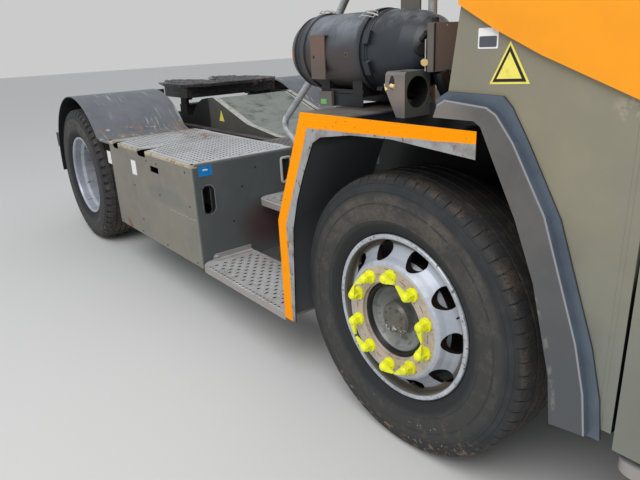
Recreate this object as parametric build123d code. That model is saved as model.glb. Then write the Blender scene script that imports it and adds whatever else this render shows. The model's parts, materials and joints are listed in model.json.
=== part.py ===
from build123d import *
import math
import os

# Terminal tractor with a full-width forward cab and a lifting fifth wheel.
# Millimetres. X runs forward, Y to the left, Z up. The origin is on the ground under the middle.

# Whole vehicle
WIDTH = 2500.0
WHEELBASE = 3350.0
FRONT_OVERHANG = 1500.0
REAR_OVERHANG = 850.0
LENGTH = FRONT_OVERHANG + WHEELBASE + REAR_OVERHANG
SIDE_Y = WIDTH / 2
FRONT_X = LENGTH / 2
REAR_X = -LENGTH / 2
AXLE_F = FRONT_X - FRONT_OVERHANG
AXLE_R = REAR_X + REAR_OVERHANG

# Clearances
SEAT_GAP = 0.3
RUN_GAP = 8.0
PIN_GAP = 0.05
EYE_SLACK = 2.5
SIDES = (-1, 1)

# Tyres and rims
TYRE_R = 505.0
TYRE_HALF = 140.0
TREAD_HALF = 118.0
RIM_SEAT_R = 286.0
RIM_WALL = 7.0
RIM_WELL_R = 262.0
RIM_FLANGE_R = 298.5
RIM_HALF = 118.0
BEAD_HALF = 105.0
WELL_HALF = 40.0
FRONT_WHEEL_Y = SIDE_Y - 198.0
DUAL_OUTER_Y = SIDE_Y - 153.0
AXLE_Z = TYRE_R

# Wheel disc, hub and nuts, measured out from the middle plane of the rim
FRONT_OFFSET = 150.0
REAR_OFFSET = 165.0
DUAL_SPACING = 2 * REAR_OFFSET
DISC_WALL = 14.0
STUD_PCD = 335.0
STUD_COUNT = 10
STUD_TURN = 17.0
STUD_R = 11.0
NUT_R = 18.0
NUT_LONG = 22.0
HUB_BORE_R = 140.5
HAND_HOLE_PLACE = 243.0
HAND_HOLE_LONG = 38.0
HAND_HOLE_SHORT = 30.0
HAND_HOLE_TURN = -1.0
DRUM_R = 205.0
DRUM_WALL = 14.0
SPINDLE_R = 35.0
NOSE_LONG = 330.0
NOSE_RISE = 20.0
STUB_R = 45.0
STUB_LONG = 90.0
CAP_R = 24.0
CAP_SKIRT = 7.0
CAP_BODY_R = 19.0
CAP_DOME_R = 15.5
CAP_ROUND = 11.0
CAP_LONG = 45.0
POINTER_REACH = 49.5
POINTER_HALF = 15.0
POINTER_WALL = 9.0

# Steering
KINGPIN_Y = FRONT_WHEEL_Y - 122.0
KINGPIN_R = 20.0
BOSS_R = 38.0
BOSS_HALF = 62.0
EAR_IN = 70.0
EAR_OUT = 95.0
ARM_LONG = 180.0
TIE_PIN_R = 12.0
TIE_EYE_R = 26.0

# Frame
RAIL_OUT_Y = 430.0
RAIL_FLANGE = 62.0
RAIL_WALL = 8.0
RAIL_BOTTOM = 580.0
RAIL_TOP = 820.0
RAIL_FRONT_X = FRONT_X - 150.0
RAIL_REAR_X = REAR_X + 110.0
RAIL_IN_Y = RAIL_OUT_Y - RAIL_FLANGE

# Deck, fenders and lockers
DECK_TOP = 1190.0
CATWALK_TOP = 850.0
SHEET = 6.0
FENDER_IN_Y = SIDE_Y - 470.0
FENDER_FRONT_X = AXLE_F + 355.0
FENDER_TOP_REAR_X = AXLE_F - 393.0
FENDER_REAR_X = AXLE_F - 582.0
FENDER_KNEE_Z = 753.0
FENDER_BOTTOM = 319.0
TRAY_Y = KINGPIN_Y - 240.0
GUARD_R = 603.0
GUARD_OUT_Y = SIDE_Y - 22.0
GUARD_IN_Y = SIDE_Y - 690.0
BOX_OUT_Y = SIDE_Y - 18.0
BOX_IN_Y = SIDE_Y - 650.0
BOX_FRONT_X = AXLE_F - 1375.0
BOX_REAR_X = AXLE_R + 750.0
BOX_BOTTOM = 300.0
BOX_TOP = 860.0
LID_WALL = 8.0
HINGE_R = 8.0
HINGE_PIN_R = 4.0

# Cab
PANEL_Y = SIDE_Y - 30.0
SKIN_Y = SIDE_Y - 18.0
WALL = 40.0
CAB_REAR_X = AXLE_F + 270.0
CAB_FRONT_X = FRONT_X - 50.0
CAB_RAKE = 60.0
PILLAR_X = AXLE_F + 762.0
DOOR_GAP = 8.0
DOOR_FRONT_X = CAB_FRONT_X - WALL - CAB_RAKE - DOOR_GAP
DOOR_BOTTOM = 459.0
DOOR_TOP = 2620.0
DOOR_HINGE_R = 9.0
DOOR_PIN_R = 5.0
SIDE_BOTTOM = 500.0
FLOOR_TOP = 1240.0
WELL_TOP = 540.0
TUNNEL_Y = SIDE_Y - 500.0
TUNNEL_TOP = 900.0
ROOF_BOTTOM = 2790.0
ROOF_TOP = 2880.0
SILL_Z = 1420.0
HEADER_Z = 2620.0
WINDOW_EDGE = 90.0
SIDE_WINDOW = (1640.0, 2500.0)
REAR_WINDOW = (1650.0, 2480.0)
REAR_WINDOW_Y = SIDE_Y - 490.0
DOOR_WINDOW = (1430.0, 2540.0)
GLASS = 8.0
TILT_X = CAB_FRONT_X - 20.0
TILT_Z = 482.0
TILT_EAR_Y = 540.0
TILT_EAR = 16.0
TILT_EAR_R = 12.5
TILT_PIN_R = 8.0
EAR_GAP = 5.0

# Bumper
BUMPER_REAR_X = CAB_FRONT_X - 90.0
BUMPER_BOTTOM = 250.0
BUMPER_TOP = 462.0
LAMP_Y = (SIDE_Y - 430.0, SIDE_Y - 160.0)
LAMP_Z = (300.0, 420.0)
TAIL_LAMP_Y = (SIDE_Y - 390.0, SIDE_Y - 80.0)

# Lift boom and fifth wheel
BOOM_OUT_Y = RAIL_IN_Y - RUN_GAP
BOOM_WALL = 12.0
BOOM_IN_Y = BOOM_OUT_Y - BOOM_WALL
BOOM_PIVOT_X = AXLE_R + 1500.0
BOOM_PIVOT_Z = 740.0
BOOM_PIVOT_R = 30.0
BOOM_BOSS_R = 55.0
BOOM_FLANGE = 38.0
GUIDE_WALL = 10.0
COUPLER_X = AXLE_R + 50.0
COUPLER_TOP = 1140.0
COUPLER_PLATE = 22.0
COUPLER_LOW = COUPLER_TOP - COUPLER_PLATE
COUPLER_PIN_Z = COUPLER_TOP - 100.0
COUPLER_PIN_R = 25.0
COUPLER_HALF = 450.0
COUPLER_FRONT = 370.0
COUPLER_TAIL = 500.0
THROAT_HALF = 42.0
RIB_DEEP = 86.0
RIB_FRONT = 250.0
PEDESTAL_OUT_Y = BOOM_IN_Y - 8.0
PEDESTAL_WALL = 22.0
LUG_WALL = 30.0
KING_R = 25.4
KING_GAP = 0.4
TOW_PIN_R = 16.5
CYL_Y = 235.0
CYL_BASE = (AXLE_R + 650.0, 455.0)
CYL_EYE = (AXLE_R + 590.0, 930.0)
BARREL_R = 48.0
ROD_R = 26.0
PIN_R = 20.0


def block(x0, x1, y0, y1, z0, z1):
    """A box between two corners."""
    size = (abs(x1 - x0), abs(y1 - y0), abs(z1 - z0))
    return Pos((x0 + x1) / 2, (y0 + y1) / 2, (z0 + z1) / 2) * Box(*size)


def slab(points, y0, y1):
    """A plate with its outline in X and Z, from one Y to another."""
    low = min(y0, y1)
    face = make_face(Polyline(*[(x, low, z) for x, z in points], close=True))
    return extrude(face, amount=abs(y1 - y0), dir=(0, 1, 0))


def cross_slab(points, x0, x1):
    """A plate with its outline in Y and Z, from one X to another."""
    low = min(x0, x1)
    face = make_face(Polyline(*[(low, y, z) for y, z in points], close=True))
    return extrude(face, amount=abs(x1 - x0), dir=(1, 0, 0))


def rod(start, end, radius):
    """A round bar between two points."""
    axis = Vector(*end) - Vector(*start)
    return extrude(Plane(origin=start, z_dir=axis) * Circle(radius), amount=axis.length)


def bent_tube(points, radius, bend):
    """A round bar along straight runs with round bends."""
    path = FilletPolyline(*points, radius=bend)
    start = Plane(origin=points[0], z_dir=path % 0)
    return sweep(start * Circle(radius), path=path)


def turned(profile, y, x=0.0, z=0.0):
    """A ring turned about the wheel's axle from an outline of (radius, across) points."""
    face = make_face(Polyline(*[(r, a, 0) for r, a in profile], close=True))
    return Pos(x, y, z) * revolve(face, axis=Axis.Y)


def mirrored(points, side):
    """The same outline with its across value signed for one side."""
    return [(r, a * side) for r, a in points]


def save(node, *solids):
    """Write one node from its solids."""
    shape = solids[0] if len(solids) == 1 else Compound(children=list(solids))
    export_step(shape, f"parts/{node}.step")


def tyre(x, y):
    """Solid tyre ring with bulging walls and a slightly crowned tread."""
    upper = [
        (RIM_SEAT_R, BEAD_HALF),
        (RIM_FLANGE_R + 2.0, BEAD_HALF + 2.0),
        (312.0, TYRE_HALF - 22.0),
        (335.0, TYRE_HALF - 8.0),
        (375.0, TYRE_HALF),
        (425.0, TYRE_HALF - 2.0),
        (TYRE_R - 32.0, TREAD_HALF + 12.0),
        (TYRE_R - 10.0, TREAD_HALF + 2.0),
        (TYRE_R - 3.0, TREAD_HALF - 14.0),
        (TYRE_R, TREAD_HALF - 50.0),
    ]
    lower = [(r, -a) for r, a in reversed(upper)]
    return turned(upper + lower, y, x, AXLE_Z)


def rim_ring(out):
    """Thin rim barrel with rounded flange lips and the narrow well between them."""
    seat = RIM_SEAT_R - SEAT_GAP
    inner = seat - RIM_WALL
    well = RIM_WELL_R + RIM_WALL
    outer_side = [
        (inner, RIM_HALF - 12.0),
        (inner + 4.0, RIM_HALF - 2.0),
        (RIM_FLANGE_R - 9.0, RIM_HALF),
        (RIM_FLANGE_R - 3.0, RIM_HALF),
        (RIM_FLANGE_R, RIM_HALF - 3.0),
        (RIM_FLANGE_R, RIM_HALF - 9.0),
        (seat, BEAD_HALF),
        (seat, WELL_HALF + 20.0),
        (well, WELL_HALF),
    ]
    mirror_side = [(r, -a) for r, a in reversed(outer_side)]
    bore = [(inner, -WELL_HALF - 20.0), (RIM_WELL_R, -WELL_HALF), (RIM_WELL_R, WELL_HALF),
            (inner, WELL_HALF + 20.0)]
    return turned(mirrored(outer_side + mirror_side + bore, out), 0)


def disc_plate(out, offset):
    """Dished disc from the bolting face to the rim, with its ring of hand holes."""
    wall = DISC_WALL
    rim_end = RIM_SEAT_R - RIM_WALL + 2.0
    outline = [
        (rim_end, offset - 86.0),
        (rim_end, offset - 70.0),
        (262.0, offset - 60.0),
        (HAND_HOLE_PLACE, offset - 48.0),
        (224.0, offset - 28.0),
        (213.0, offset - 9.0),
        (205.0, offset - 2.0),
        (196.0, offset),
        (HUB_BORE_R, offset),
        (HUB_BORE_R, offset - wall),
        (190.0, offset - wall),
        (203.0, offset - 22.0),
        (214.0, offset - 40.0),
        (HAND_HOLE_PLACE - 6.0, offset - 62.0),
        (258.0, offset - 74.0),
    ]
    plate = turned(mirrored(outline, out), 0)
    for k in range(STUD_COUNT):
        turn = 360.0 / STUD_COUNT * k + HAND_HOLE_TURN
        hole = extrude(Plane.XZ * Pos(HAND_HOLE_PLACE, 0) * Ellipse(HAND_HOLE_SHORT, HAND_HOLE_LONG),
                       amount=200.0, both=True)
        plate -= Rot(0, -turn, 0) * hole
    return plate


def hub_body(out, offset, spindle_deep):
    """Hub with its stud flange, brake drum and end cap, bored for the spindle."""
    behind = offset - DISC_WALL
    bore = HUB_BORE_R - 5.0
    outline = [
        (SPINDLE_R + PIN_GAP, -60.0),
        (92.0, -60.0),
        (92.0, 40.0),
        (DRUM_R - DRUM_WALL, 60.0),
        (DRUM_R - DRUM_WALL, -65.0),
        (DRUM_R, -65.0),
        (DRUM_R, 76.0),
        (184.0, behind - 24.0),
        (184.0, behind),
        (bore, behind),
        (bore, offset - 17.0),
        (bore - 8.0, offset - 13.0),
        (122.0, offset - 18.0),
        (110.0, offset - 42.0),
        (86.0, offset - 54.0),
        (62.0, offset - 56.0),
        (60.0, offset - 26.0),
        (52.0, offset - 16.0),
        (0.0, offset - 12.0),
        (0.0, spindle_deep),
        (SPINDLE_R + PIN_GAP, spindle_deep),
    ]
    return turned(mirrored(outline, out), 0)


def stud_places():
    """Angles of the wheel studs about the axle, in degrees, counted from ahead up over the top."""
    return [360.0 / STUD_COUNT * k + STUD_TURN for k in range(STUD_COUNT)]


def nuts(face, out):
    """Hexagon nuts and stud ends on a bolting face."""
    pieces = []
    for turn in stud_places():
        place = Rot(0, -turn, 0) * Pos(STUD_PCD / 2, 0, 0)
        across = Plane(origin=(0, face * out, 0), z_dir=(0, out, 0))
        nut = extrude(across * RegularPolygon(NUT_R, 6), amount=NUT_LONG)
        stud = extrude(across * Circle(STUD_R), amount=NUT_LONG + 10.0)
        pieces.append(place * (nut + stud))
    return pieces


def nut_indicators(x, y, out):
    """Yellow caps on the nuts: round skirt, six flats, domed end and a pointer at the end."""
    caps = []
    for k, turn in enumerate(stud_places()):
        across = Plane(origin=(0, FRONT_OFFSET * out, 0), z_dir=(0, out, 0))
        dome_at = CAP_LONG - CAP_DOME_R
        cap = extrude(across * Circle(CAP_R), amount=CAP_SKIRT)
        cap += extrude(across * RegularPolygon(CAP_BODY_R, 6), amount=dome_at + 2.0)
        dome = extrude(across * Circle(CAP_DOME_R), amount=CAP_LONG)
        cap += fillet(dome.edges().sort_by(Axis.Y)[-1 if out > 0 else 0], CAP_ROUND)
        tip = POINTER_REACH if k % 2 else -POINTER_REACH
        points = [(-POINTER_HALF, 0), (POINTER_HALF, 0), (2.0, tip), (-2.0, tip)]
        flat = make_face(Polyline(*[(px, 0, pz) for px, pz in points], close=True))
        tongue = extrude(flat, amount=POINTER_WALL, dir=(0, out, 0))
        cap += Pos(0, (FRONT_OFFSET + dome_at) * out, 0) * tongue
        place = Pos(x, y, AXLE_Z) * Rot(0, -turn, 0) * Pos(STUD_PCD / 2, 0, 0)
        caps.append(place * cap)
    return caps


def front_wheel(side):
    """Rim, disc, hub and drum of a steered wheel, facing outwards."""
    wheel = rim_ring(side) + disc_plate(side, FRONT_OFFSET) + hub_body(side, FRONT_OFFSET, 52.0)
    return Pos(AXLE_F, FRONT_WHEEL_Y * side, AXLE_Z) * wheel


def rear_wheels(side):
    """Two rims bolted face to face on the driven hub, the outer one deeply dished."""
    outer = rim_ring(-side) + disc_plate(-side, REAR_OFFSET)
    inner = rim_ring(side) + disc_plate(side, REAR_OFFSET)
    inner_y = DUAL_OUTER_Y - DUAL_SPACING
    face = DUAL_OUTER_Y - REAR_OFFSET
    pair = Pos(0, DUAL_OUTER_Y * side, 0) * outer + Pos(0, inner_y * side, 0) * inner
    bore = HUB_BORE_R - 1.0
    hub_outline = [
        (STUB_R + PIN_GAP, inner_y - 70.0),
        (150.0, inner_y - 70.0),
        (DRUM_R, inner_y - 60.0),
        (DRUM_R, inner_y + 78.0),
        (184.0, face - DISC_WALL - 30.0),
        (184.0, face - DISC_WALL),
        (bore, face - DISC_WALL),
        (bore, face + 20.0),
        (120.0, face + 26.0),
        (112.0, face + 70.0),
        (95.0, face + 78.0),
        (0.0, face + 78.0),
        (0.0, inner_y + STUB_LONG + 5.0),
        (STUB_R + PIN_GAP, inner_y + STUB_LONG + 5.0),
    ]
    pair += turned(mirrored(hub_outline, side), 0)
    for nut in nuts(face + DISC_WALL, side):
        pair += nut
    return Pos(AXLE_R, 0, AXLE_Z) * pair


def knuckle(side):
    """Steering knuckle: fork on the kingpin, backing plate, spindle and steering arm."""
    y = KINGPIN_Y
    plate_y = FRONT_WHEEL_Y - 65.0 - RUN_GAP
    pieces = []
    for low, high in ((-EAR_OUT, -EAR_IN), (EAR_IN, EAR_OUT)):
        ear = block(AXLE_F - 42, AXLE_F + 42, y, plate_y, AXLE_Z + low, AXLE_Z + high)
        tip = Pos(AXLE_F, y, AXLE_Z + (low + high) / 2) * Cylinder(42.0, high - low)
        pieces.append(ear + tip)
    body = pieces[0] + pieces[1]
    body += Pos(AXLE_F, y, AXLE_Z) * Cylinder(KINGPIN_R, 2 * EAR_OUT)
    body += rod((AXLE_F, plate_y - 8.0, AXLE_Z), (AXLE_F, plate_y, AXLE_Z), DRUM_R - 8.0)
    body += rod((AXLE_F, plate_y - 8.0, AXLE_Z), (AXLE_F, FRONT_WHEEL_Y + 48.0, AXLE_Z), SPINDLE_R)
    arm_top = AXLE_Z - EAR_IN
    body += block(AXLE_F - ARM_LONG, AXLE_F - 20, y - 18, y + 18, AXLE_Z - EAR_OUT, arm_top)
    body += Pos(AXLE_F - ARM_LONG, y, arm_top - 12.5) * Cylinder(22.0, 25.0)
    body += Pos(AXLE_F - ARM_LONG, y, arm_top + 15.0) * Cylinder(TIE_PIN_R, 36.0)
    return body if side > 0 else mirror(body, about=Plane.XZ)


def tie_rod():
    """Track rod behind the axle between the two steering arms."""
    x = AXLE_F - ARM_LONG
    low = AXLE_Z - EAR_IN + 2.0
    bar = rod((x, -KINGPIN_Y, low + 12.0), (x, KINGPIN_Y, low + 12.0), 11.0)
    bar += rod((x, -KINGPIN_Y + 60, low + 12.0), (x, KINGPIN_Y - 60, low + 12.0), 18.0)
    for side in SIDES:
        bar += Pos(x, KINGPIN_Y * side, low + 12.0) * Cylinder(TIE_EYE_R, 24.0)
        bar -= Pos(x, KINGPIN_Y * side, low + 12.0) * Cylinder(TIE_PIN_R + PIN_GAP, 60.0)
    return bar


def front_axle():
    """Dropped axle beam with kingpin bosses, carrying the two leaf springs."""
    half = KINGPIN_Y - 10.0
    outline = [
        (-half, 462), (-680, 462), (-560, 400), (560, 400), (680, 462), (half, 462),
        (half, 548), (640, 548), (520, 482), (-520, 482), (-640, 548), (-half, 548),
    ]
    beam = cross_slab(outline, AXLE_F - 38, AXLE_F + 38)
    for side in SIDES:
        beam += Pos(AXLE_F, KINGPIN_Y * side, AXLE_Z) * Cylinder(BOSS_R, 2 * BOSS_HALF)
        beam -= Pos(AXLE_F, KINGPIN_Y * side, AXLE_Z) * Cylinder(KINGPIN_R + PIN_GAP, 300.0)
        leaf = [
            (AXLE_F - 560, 532), (AXLE_F - 90, 482), (AXLE_F + 90, 482), (AXLE_F + 560, 532),
            (AXLE_F + 560, RAIL_BOTTOM), (AXLE_F + 505, RAIL_BOTTOM), (AXLE_F + 490, 556),
            (AXLE_F + 90, 524), (AXLE_F - 90, 524), (AXLE_F - 490, 556),
            (AXLE_F - 505, RAIL_BOTTOM), (AXLE_F - 560, RAIL_BOTTOM),
        ]
        beam += slab(leaf, (RAIL_OUT_Y - 75) * side, RAIL_OUT_Y * side)
    return beam


def rear_axle():
    """Rigid driven axle: tube, round centre casing and its seats under the rails."""
    end = DUAL_OUTER_Y - DUAL_SPACING - 70.0 - RUN_GAP
    stub = DUAL_OUTER_Y - DUAL_SPACING + STUB_LONG
    casing = rod((AXLE_R, -stub, AXLE_Z), (AXLE_R, stub, AXLE_Z), STUB_R)
    casing += rod((AXLE_R, -end, AXLE_Z), (AXLE_R, end, AXLE_Z), 72.0)
    casing += rod((AXLE_R - 20, -90, AXLE_Z), (AXLE_R - 20, 90, AXLE_Z), 205.0)
    casing += rod((AXLE_R, 0, AXLE_Z), (AXLE_R + NOSE_LONG, 0, AXLE_Z + NOSE_RISE), 85.0)
    for side in SIDES:
        casing += block(AXLE_R - 110, AXLE_R + 110, (RAIL_OUT_Y - 75) * side, RAIL_OUT_Y * side,
                        AXLE_Z - 20, RAIL_BOTTOM)
    return casing


def engine_and_shaft():
    """Plain engine and gearbox block, and the shaft back to the driven axle."""
    engine = block(AXLE_F - 560, AXLE_F + 480, -330, 330, 520, 1090)
    gearbox = block(AXLE_F - 1080, AXLE_F - 560, -190, 190, 500, 800)
    nose_x, nose_z = AXLE_R + NOSE_LONG, AXLE_Z + NOSE_RISE
    step = SEAT_GAP / NOSE_LONG
    flange = (nose_x + SEAT_GAP, 0, nose_z + NOSE_RISE * step)
    neck = (nose_x + 40, 0, nose_z + NOSE_RISE * 40 / NOSE_LONG)
    shaft = rod(flange, neck, 62.0) + rod(neck, (AXLE_F - 1080, 0, 560), 45.0)
    return engine + gearbox + shaft


def frame_rails():
    """Two channel rails, open inwards, with tapered tails."""
    rails = []
    for side in SIDES:
        y = RAIL_OUT_Y
        outline = [
            (y, RAIL_BOTTOM), (y, RAIL_TOP), (y - RAIL_FLANGE, RAIL_TOP),
            (y - RAIL_FLANGE, RAIL_TOP - RAIL_WALL), (y - RAIL_WALL, RAIL_TOP - RAIL_WALL),
            (y - RAIL_WALL, RAIL_BOTTOM + RAIL_WALL), (y - RAIL_FLANGE, RAIL_BOTTOM + RAIL_WALL),
            (y - RAIL_FLANGE, RAIL_BOTTOM),
        ]
        rail = cross_slab([(a * side, z) for a, z in outline], RAIL_REAR_X, RAIL_FRONT_X)
        rails.append(rail)
    return rails


CROSS_MEMBERS = (
    # middle x, half length in x, low z, high z
    (RAIL_FRONT_X - 60.0, 40.0, 590.0, 790.0),
    (AXLE_F - 1250.0, 30.0, 640.0, 780.0),
    (AXLE_R + 910.0, 30.0, 590.0, 680.0),
    (AXLE_R - 330.0, 40.0, 590.0, 790.0),
)
BEAM_Z = (640.0, 760.0)
JAW_Z = (600.0, 780.0)
JAW_MOUTH_Z = (665.0, 715.0)


def frame_crossmembers():
    """Cross members between the rails, the boom's pivot tube, and the rear beam behind them."""
    web = RAIL_OUT_Y - RAIL_WALL
    pieces = []
    for x, half, low, high in CROSS_MEMBERS:
        member = block(x - half, x + half, -web, web, low, high)
        member -= block(x - half + 8, x + half - 8, -RAIL_IN_Y, RAIL_IN_Y, low + 8, high + 1)
        pieces.append(member)
    pieces.append(rod((BOOM_PIVOT_X, -web, BOOM_PIVOT_Z), (BOOM_PIVOT_X, web, BOOM_PIVOT_Z), BOOM_PIVOT_R))
    beam = block(REAR_X + 30, RAIL_REAR_X, -SIDE_Y + 70, SIDE_Y - 70, *BEAM_Z)
    beam += block(REAR_X + 30, RAIL_REAR_X, -RAIL_OUT_Y, RAIL_OUT_Y, RAIL_BOTTOM, RAIL_TOP)
    jaw = block(REAR_X, REAR_X + 30, -90, 90, *JAW_Z)
    beam += jaw
    beam -= block(REAR_X - 1, REAR_X + 90, -45, 45, *JAW_MOUTH_Z)
    beam -= Pos(REAR_X + 46, 0, 700) * Cylinder(TOW_PIN_R, 300)
    pieces.append(beam)
    return pieces


def front_fender(side):
    """Folded fender with a flat lip, a deck on top and a wall behind the tyre."""
    t = SHEET
    outline = [
        (FENDER_FRONT_X, DECK_TOP), (FENDER_TOP_REAR_X, DECK_TOP), (FENDER_REAR_X, FENDER_KNEE_Z),
        (FENDER_REAR_X, FENDER_BOTTOM), (FENDER_REAR_X + t, FENDER_BOTTOM),
        (FENDER_REAR_X + t, FENDER_KNEE_Z), (FENDER_TOP_REAR_X + t, DECK_TOP - t),
        (FENDER_FRONT_X, DECK_TOP - t),
    ]
    shell = slab(outline, SIDE_Y * side, FENDER_IN_Y * side)
    opening = [
        (FENDER_FRONT_X, 1118.0), (AXLE_F + 50, 1140.0), (AXLE_F - 130, 1134.0),
        (AXLE_F - 285, 1112.0), (AXLE_F - 330, 1088.0), (AXLE_F - 396, 965.0),
        (AXLE_F - 443, 861.0), (AXLE_F - 483, 733.0), (AXLE_F - 510, FENDER_BOTTOM),
    ]
    lip = slab([(FENDER_REAR_X, FENDER_BOTTOM), (FENDER_REAR_X, FENDER_KNEE_Z),
                (FENDER_TOP_REAR_X, DECK_TOP), (FENDER_FRONT_X, DECK_TOP)] + opening,
               SIDE_Y * side, (SIDE_Y - t) * side)
    return shell + lip


def rear_guard(side):
    """Half-round guard over both rear wheels, flanged down to the locker."""
    cx, cz, r, t = AXLE_R, AXLE_Z, GUARD_R, SHEET
    lead = math.radians(36.0)
    end = (cx + r * math.cos(lead), cz + r * math.sin(lead))
    end_in = (cx + (r - t) * math.cos(lead), cz + (r - t) * math.sin(lead))
    foot_x = cx + 552.0
    foot_z = BOX_TOP - 28.0
    y0 = GUARD_IN_Y * side
    outer = ThreePointArc((end[0], y0, end[1]), (cx, y0, cz + r), (cx - r, y0, cz))
    inner = ThreePointArc((end_in[0], y0, end_in[1]), (cx, y0, cz + r - t), (cx - r + t, y0, cz))
    rest = [
        Polyline((cx - r, y0, cz), (cx - r, y0, cz - 40), (cx - r + t, y0, cz - 40),
                 (cx - r + t, y0, cz)),
        Polyline((end_in[0], y0, end_in[1]), (foot_x - 2, y0, foot_z), (BOX_REAR_X, y0, foot_z),
                 (BOX_REAR_X, y0, foot_z + t), (foot_x + 2, y0, foot_z + t),
                 (end[0], y0, end[1])),
    ]
    face = make_face([outer, inner] + rest)
    guard = extrude(face, amount=GUARD_OUT_Y - GUARD_IN_Y, dir=(0, side, 0))
    gusset = [
        (RAIL_OUT_Y, 600), (RAIL_OUT_Y, 800), (480, 860), (480, cz + r - t),
        (GUARD_IN_Y + 30, cz + r - t), (GUARD_IN_Y + 20, cz + r - t - 30), (520, 820),
    ]
    guard += cross_slab([(a * side, z) for a, z in gusset], cx - 5, cx + 5)
    return guard


LID_HINGE_Y = BOX_IN_Y - HINGE_R - 1.0
LID_HINGE_Z = BOX_TOP - HINGE_R
LID_HINGES = (BOX_FRONT_X - 160.0, BOX_REAR_X + 160.0)
LID_GAP = 5.0
RIM_FOLD = 13.0
RIM_TALL = 16.0
LEDGE = 22.0
HAND_SLOT_Z = 667.0
SIDE_SLOT = (AXLE_F - 1930.0, AXLE_F - 1810.0)
SIDE_SLOT_Z = (748.0, 784.0)
LATCH_NOTCHES = (
    # rear x and front x of the two cut-outs in the outer edge
    (AXLE_F - 2530.0, AXLE_F - 2430.0),
    (AXLE_F - 2112.0, AXLE_F - 1982.0),
)
NOTCH_BOTTOM = 820.0
NOTCH_IN_Y = BOX_OUT_Y - 135.0


def locker_box():
    """Sheet locker on the right with a folded rim on three sides, bracketed to the rail."""
    t = SHEET
    shell = block(BOX_REAR_X, BOX_FRONT_X, -BOX_OUT_Y, -BOX_IN_Y, BOX_BOTTOM, BOX_TOP)
    shell = fillet(shell.edges().filter_by(Axis.Z).group_by(Axis.Y)[0], 7)
    shell = fillet(shell.edges().filter_by(Axis.X).group_by(Axis.Z)[-1].group_by(Axis.Y)[0], 6)
    rim_low = BOX_TOP - RIM_TALL
    shell -= block(BOX_REAR_X + t, BOX_FRONT_X - t, -BOX_OUT_Y + t, -BOX_IN_Y - t, BOX_BOTTOM + t, rim_low)
    shell -= block(BOX_REAR_X + RIM_FOLD + LEDGE, BOX_FRONT_X - RIM_FOLD - LEDGE,
                   -BOX_OUT_Y + RIM_FOLD + LEDGE, -BOX_IN_Y - t, rim_low - 1, BOX_TOP + 1)
    shell -= block(BOX_REAR_X + RIM_FOLD, BOX_FRONT_X - RIM_FOLD, -BOX_OUT_Y + RIM_FOLD, -BOX_IN_Y + 1,
                   BOX_TOP - LID_WALL - SEAT_GAP, BOX_TOP + 1)
    shell -= extrude(Plane(origin=(BOX_FRONT_X - 20, -BOX_OUT_Y + 70, HAND_SLOT_Z), x_dir=(0, 0, 1),
                           z_dir=(1, 0, 0)) * SlotOverall(150, 42), amount=40)
    shell -= block(*SIDE_SLOT, -BOX_OUT_Y - 1, -BOX_OUT_Y + t + 1, *SIDE_SLOT_Z)
    for x0, x1 in LATCH_NOTCHES:
        mouth = [(x0, BOX_TOP + 1), (x0, NOTCH_BOTTOM + 14), (x0 + 14, NOTCH_BOTTOM), (x1 - 8, NOTCH_BOTTOM),
                 (x1, NOTCH_BOTTOM + 8), (x1, BOX_TOP + 1)]
        shell -= slab(mouth, -BOX_OUT_Y - 1, -BOX_OUT_Y + RIM_FOLD + LEDGE + 1)
    for x in (BOX_FRONT_X - 180, BOX_REAR_X + 180):
        shell += block(x - 35, x + 35, -BOX_IN_Y, -RAIL_OUT_Y, 620, 800)
    for x in LID_HINGES:
        shell += rod((x - 60, -LID_HINGE_Y, LID_HINGE_Z), (x + 60, -LID_HINGE_Y, LID_HINGE_Z), HINGE_PIN_R)
        for end in (-1, 1):
            near, far = x + 44 * end, x + 60 * end
            shell += rod((near, -LID_HINGE_Y, LID_HINGE_Z), (far, -LID_HINGE_Y, LID_HINGE_Z), HINGE_R)
            shell += block(near, far, -BOX_IN_Y, -LID_HINGE_Y, LID_HINGE_Z - 30, LID_HINGE_Z)
    return shell


def locker_cover():
    """Cover of the locker: a plate inside the rim, two tapered latch cut-outs and two hinge barrels."""
    low = BOX_TOP - LID_WALL
    inset = RIM_FOLD + LID_GAP
    cover = block(BOX_REAR_X + inset, BOX_FRONT_X - inset, -BOX_OUT_Y + inset, -BOX_IN_Y, low, BOX_TOP)
    for x0, x1 in LATCH_NOTCHES:
        middle = (x0 + x1) / 2
        points = [(x0, -BOX_OUT_Y), (x1, -BOX_OUT_Y), (middle + 8, -NOTCH_IN_Y), (middle - 8, -NOTCH_IN_Y)]
        face = make_face(Polyline(*[(x, y, low - 1) for x, y in points], close=True))
        cover -= extrude(face, amount=LID_WALL + 2, dir=(0, 0, 1))
    for x in LID_HINGES:
        barrel = rod((x - 42, -LID_HINGE_Y, LID_HINGE_Z), (x + 42, -LID_HINGE_Y, LID_HINGE_Z), HINGE_R)
        barrel += block(x - 42, x + 42, -BOX_IN_Y - 2, -LID_HINGE_Y, LID_HINGE_Z + 2, BOX_TOP)
        barrel -= rod((x - 43, -LID_HINGE_Y, LID_HINGE_Z), (x + 43, -LID_HINGE_Y, LID_HINGE_Z),
                      HINGE_PIN_R + PIN_GAP)
        cover += barrel
    return cover


def fuel_tank():
    """Rounded tank on the left, on two brackets from the rail."""
    tank = block(BOX_REAR_X + 40, BOX_FRONT_X, BOX_IN_Y + 20, BOX_OUT_Y, 340, 840)
    tank = fillet(tank.edges().filter_by(Axis.X), 70)
    tank += Pos(BOX_FRONT_X - 200, BOX_OUT_Y - 140, 850) * Cylinder(50, 40)
    for x in (BOX_FRONT_X - 180, BOX_REAR_X + 220):
        tank += block(x - 35, x + 35, RAIL_OUT_Y, BOX_IN_Y + 40, 620, 800)
    return tank


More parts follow.
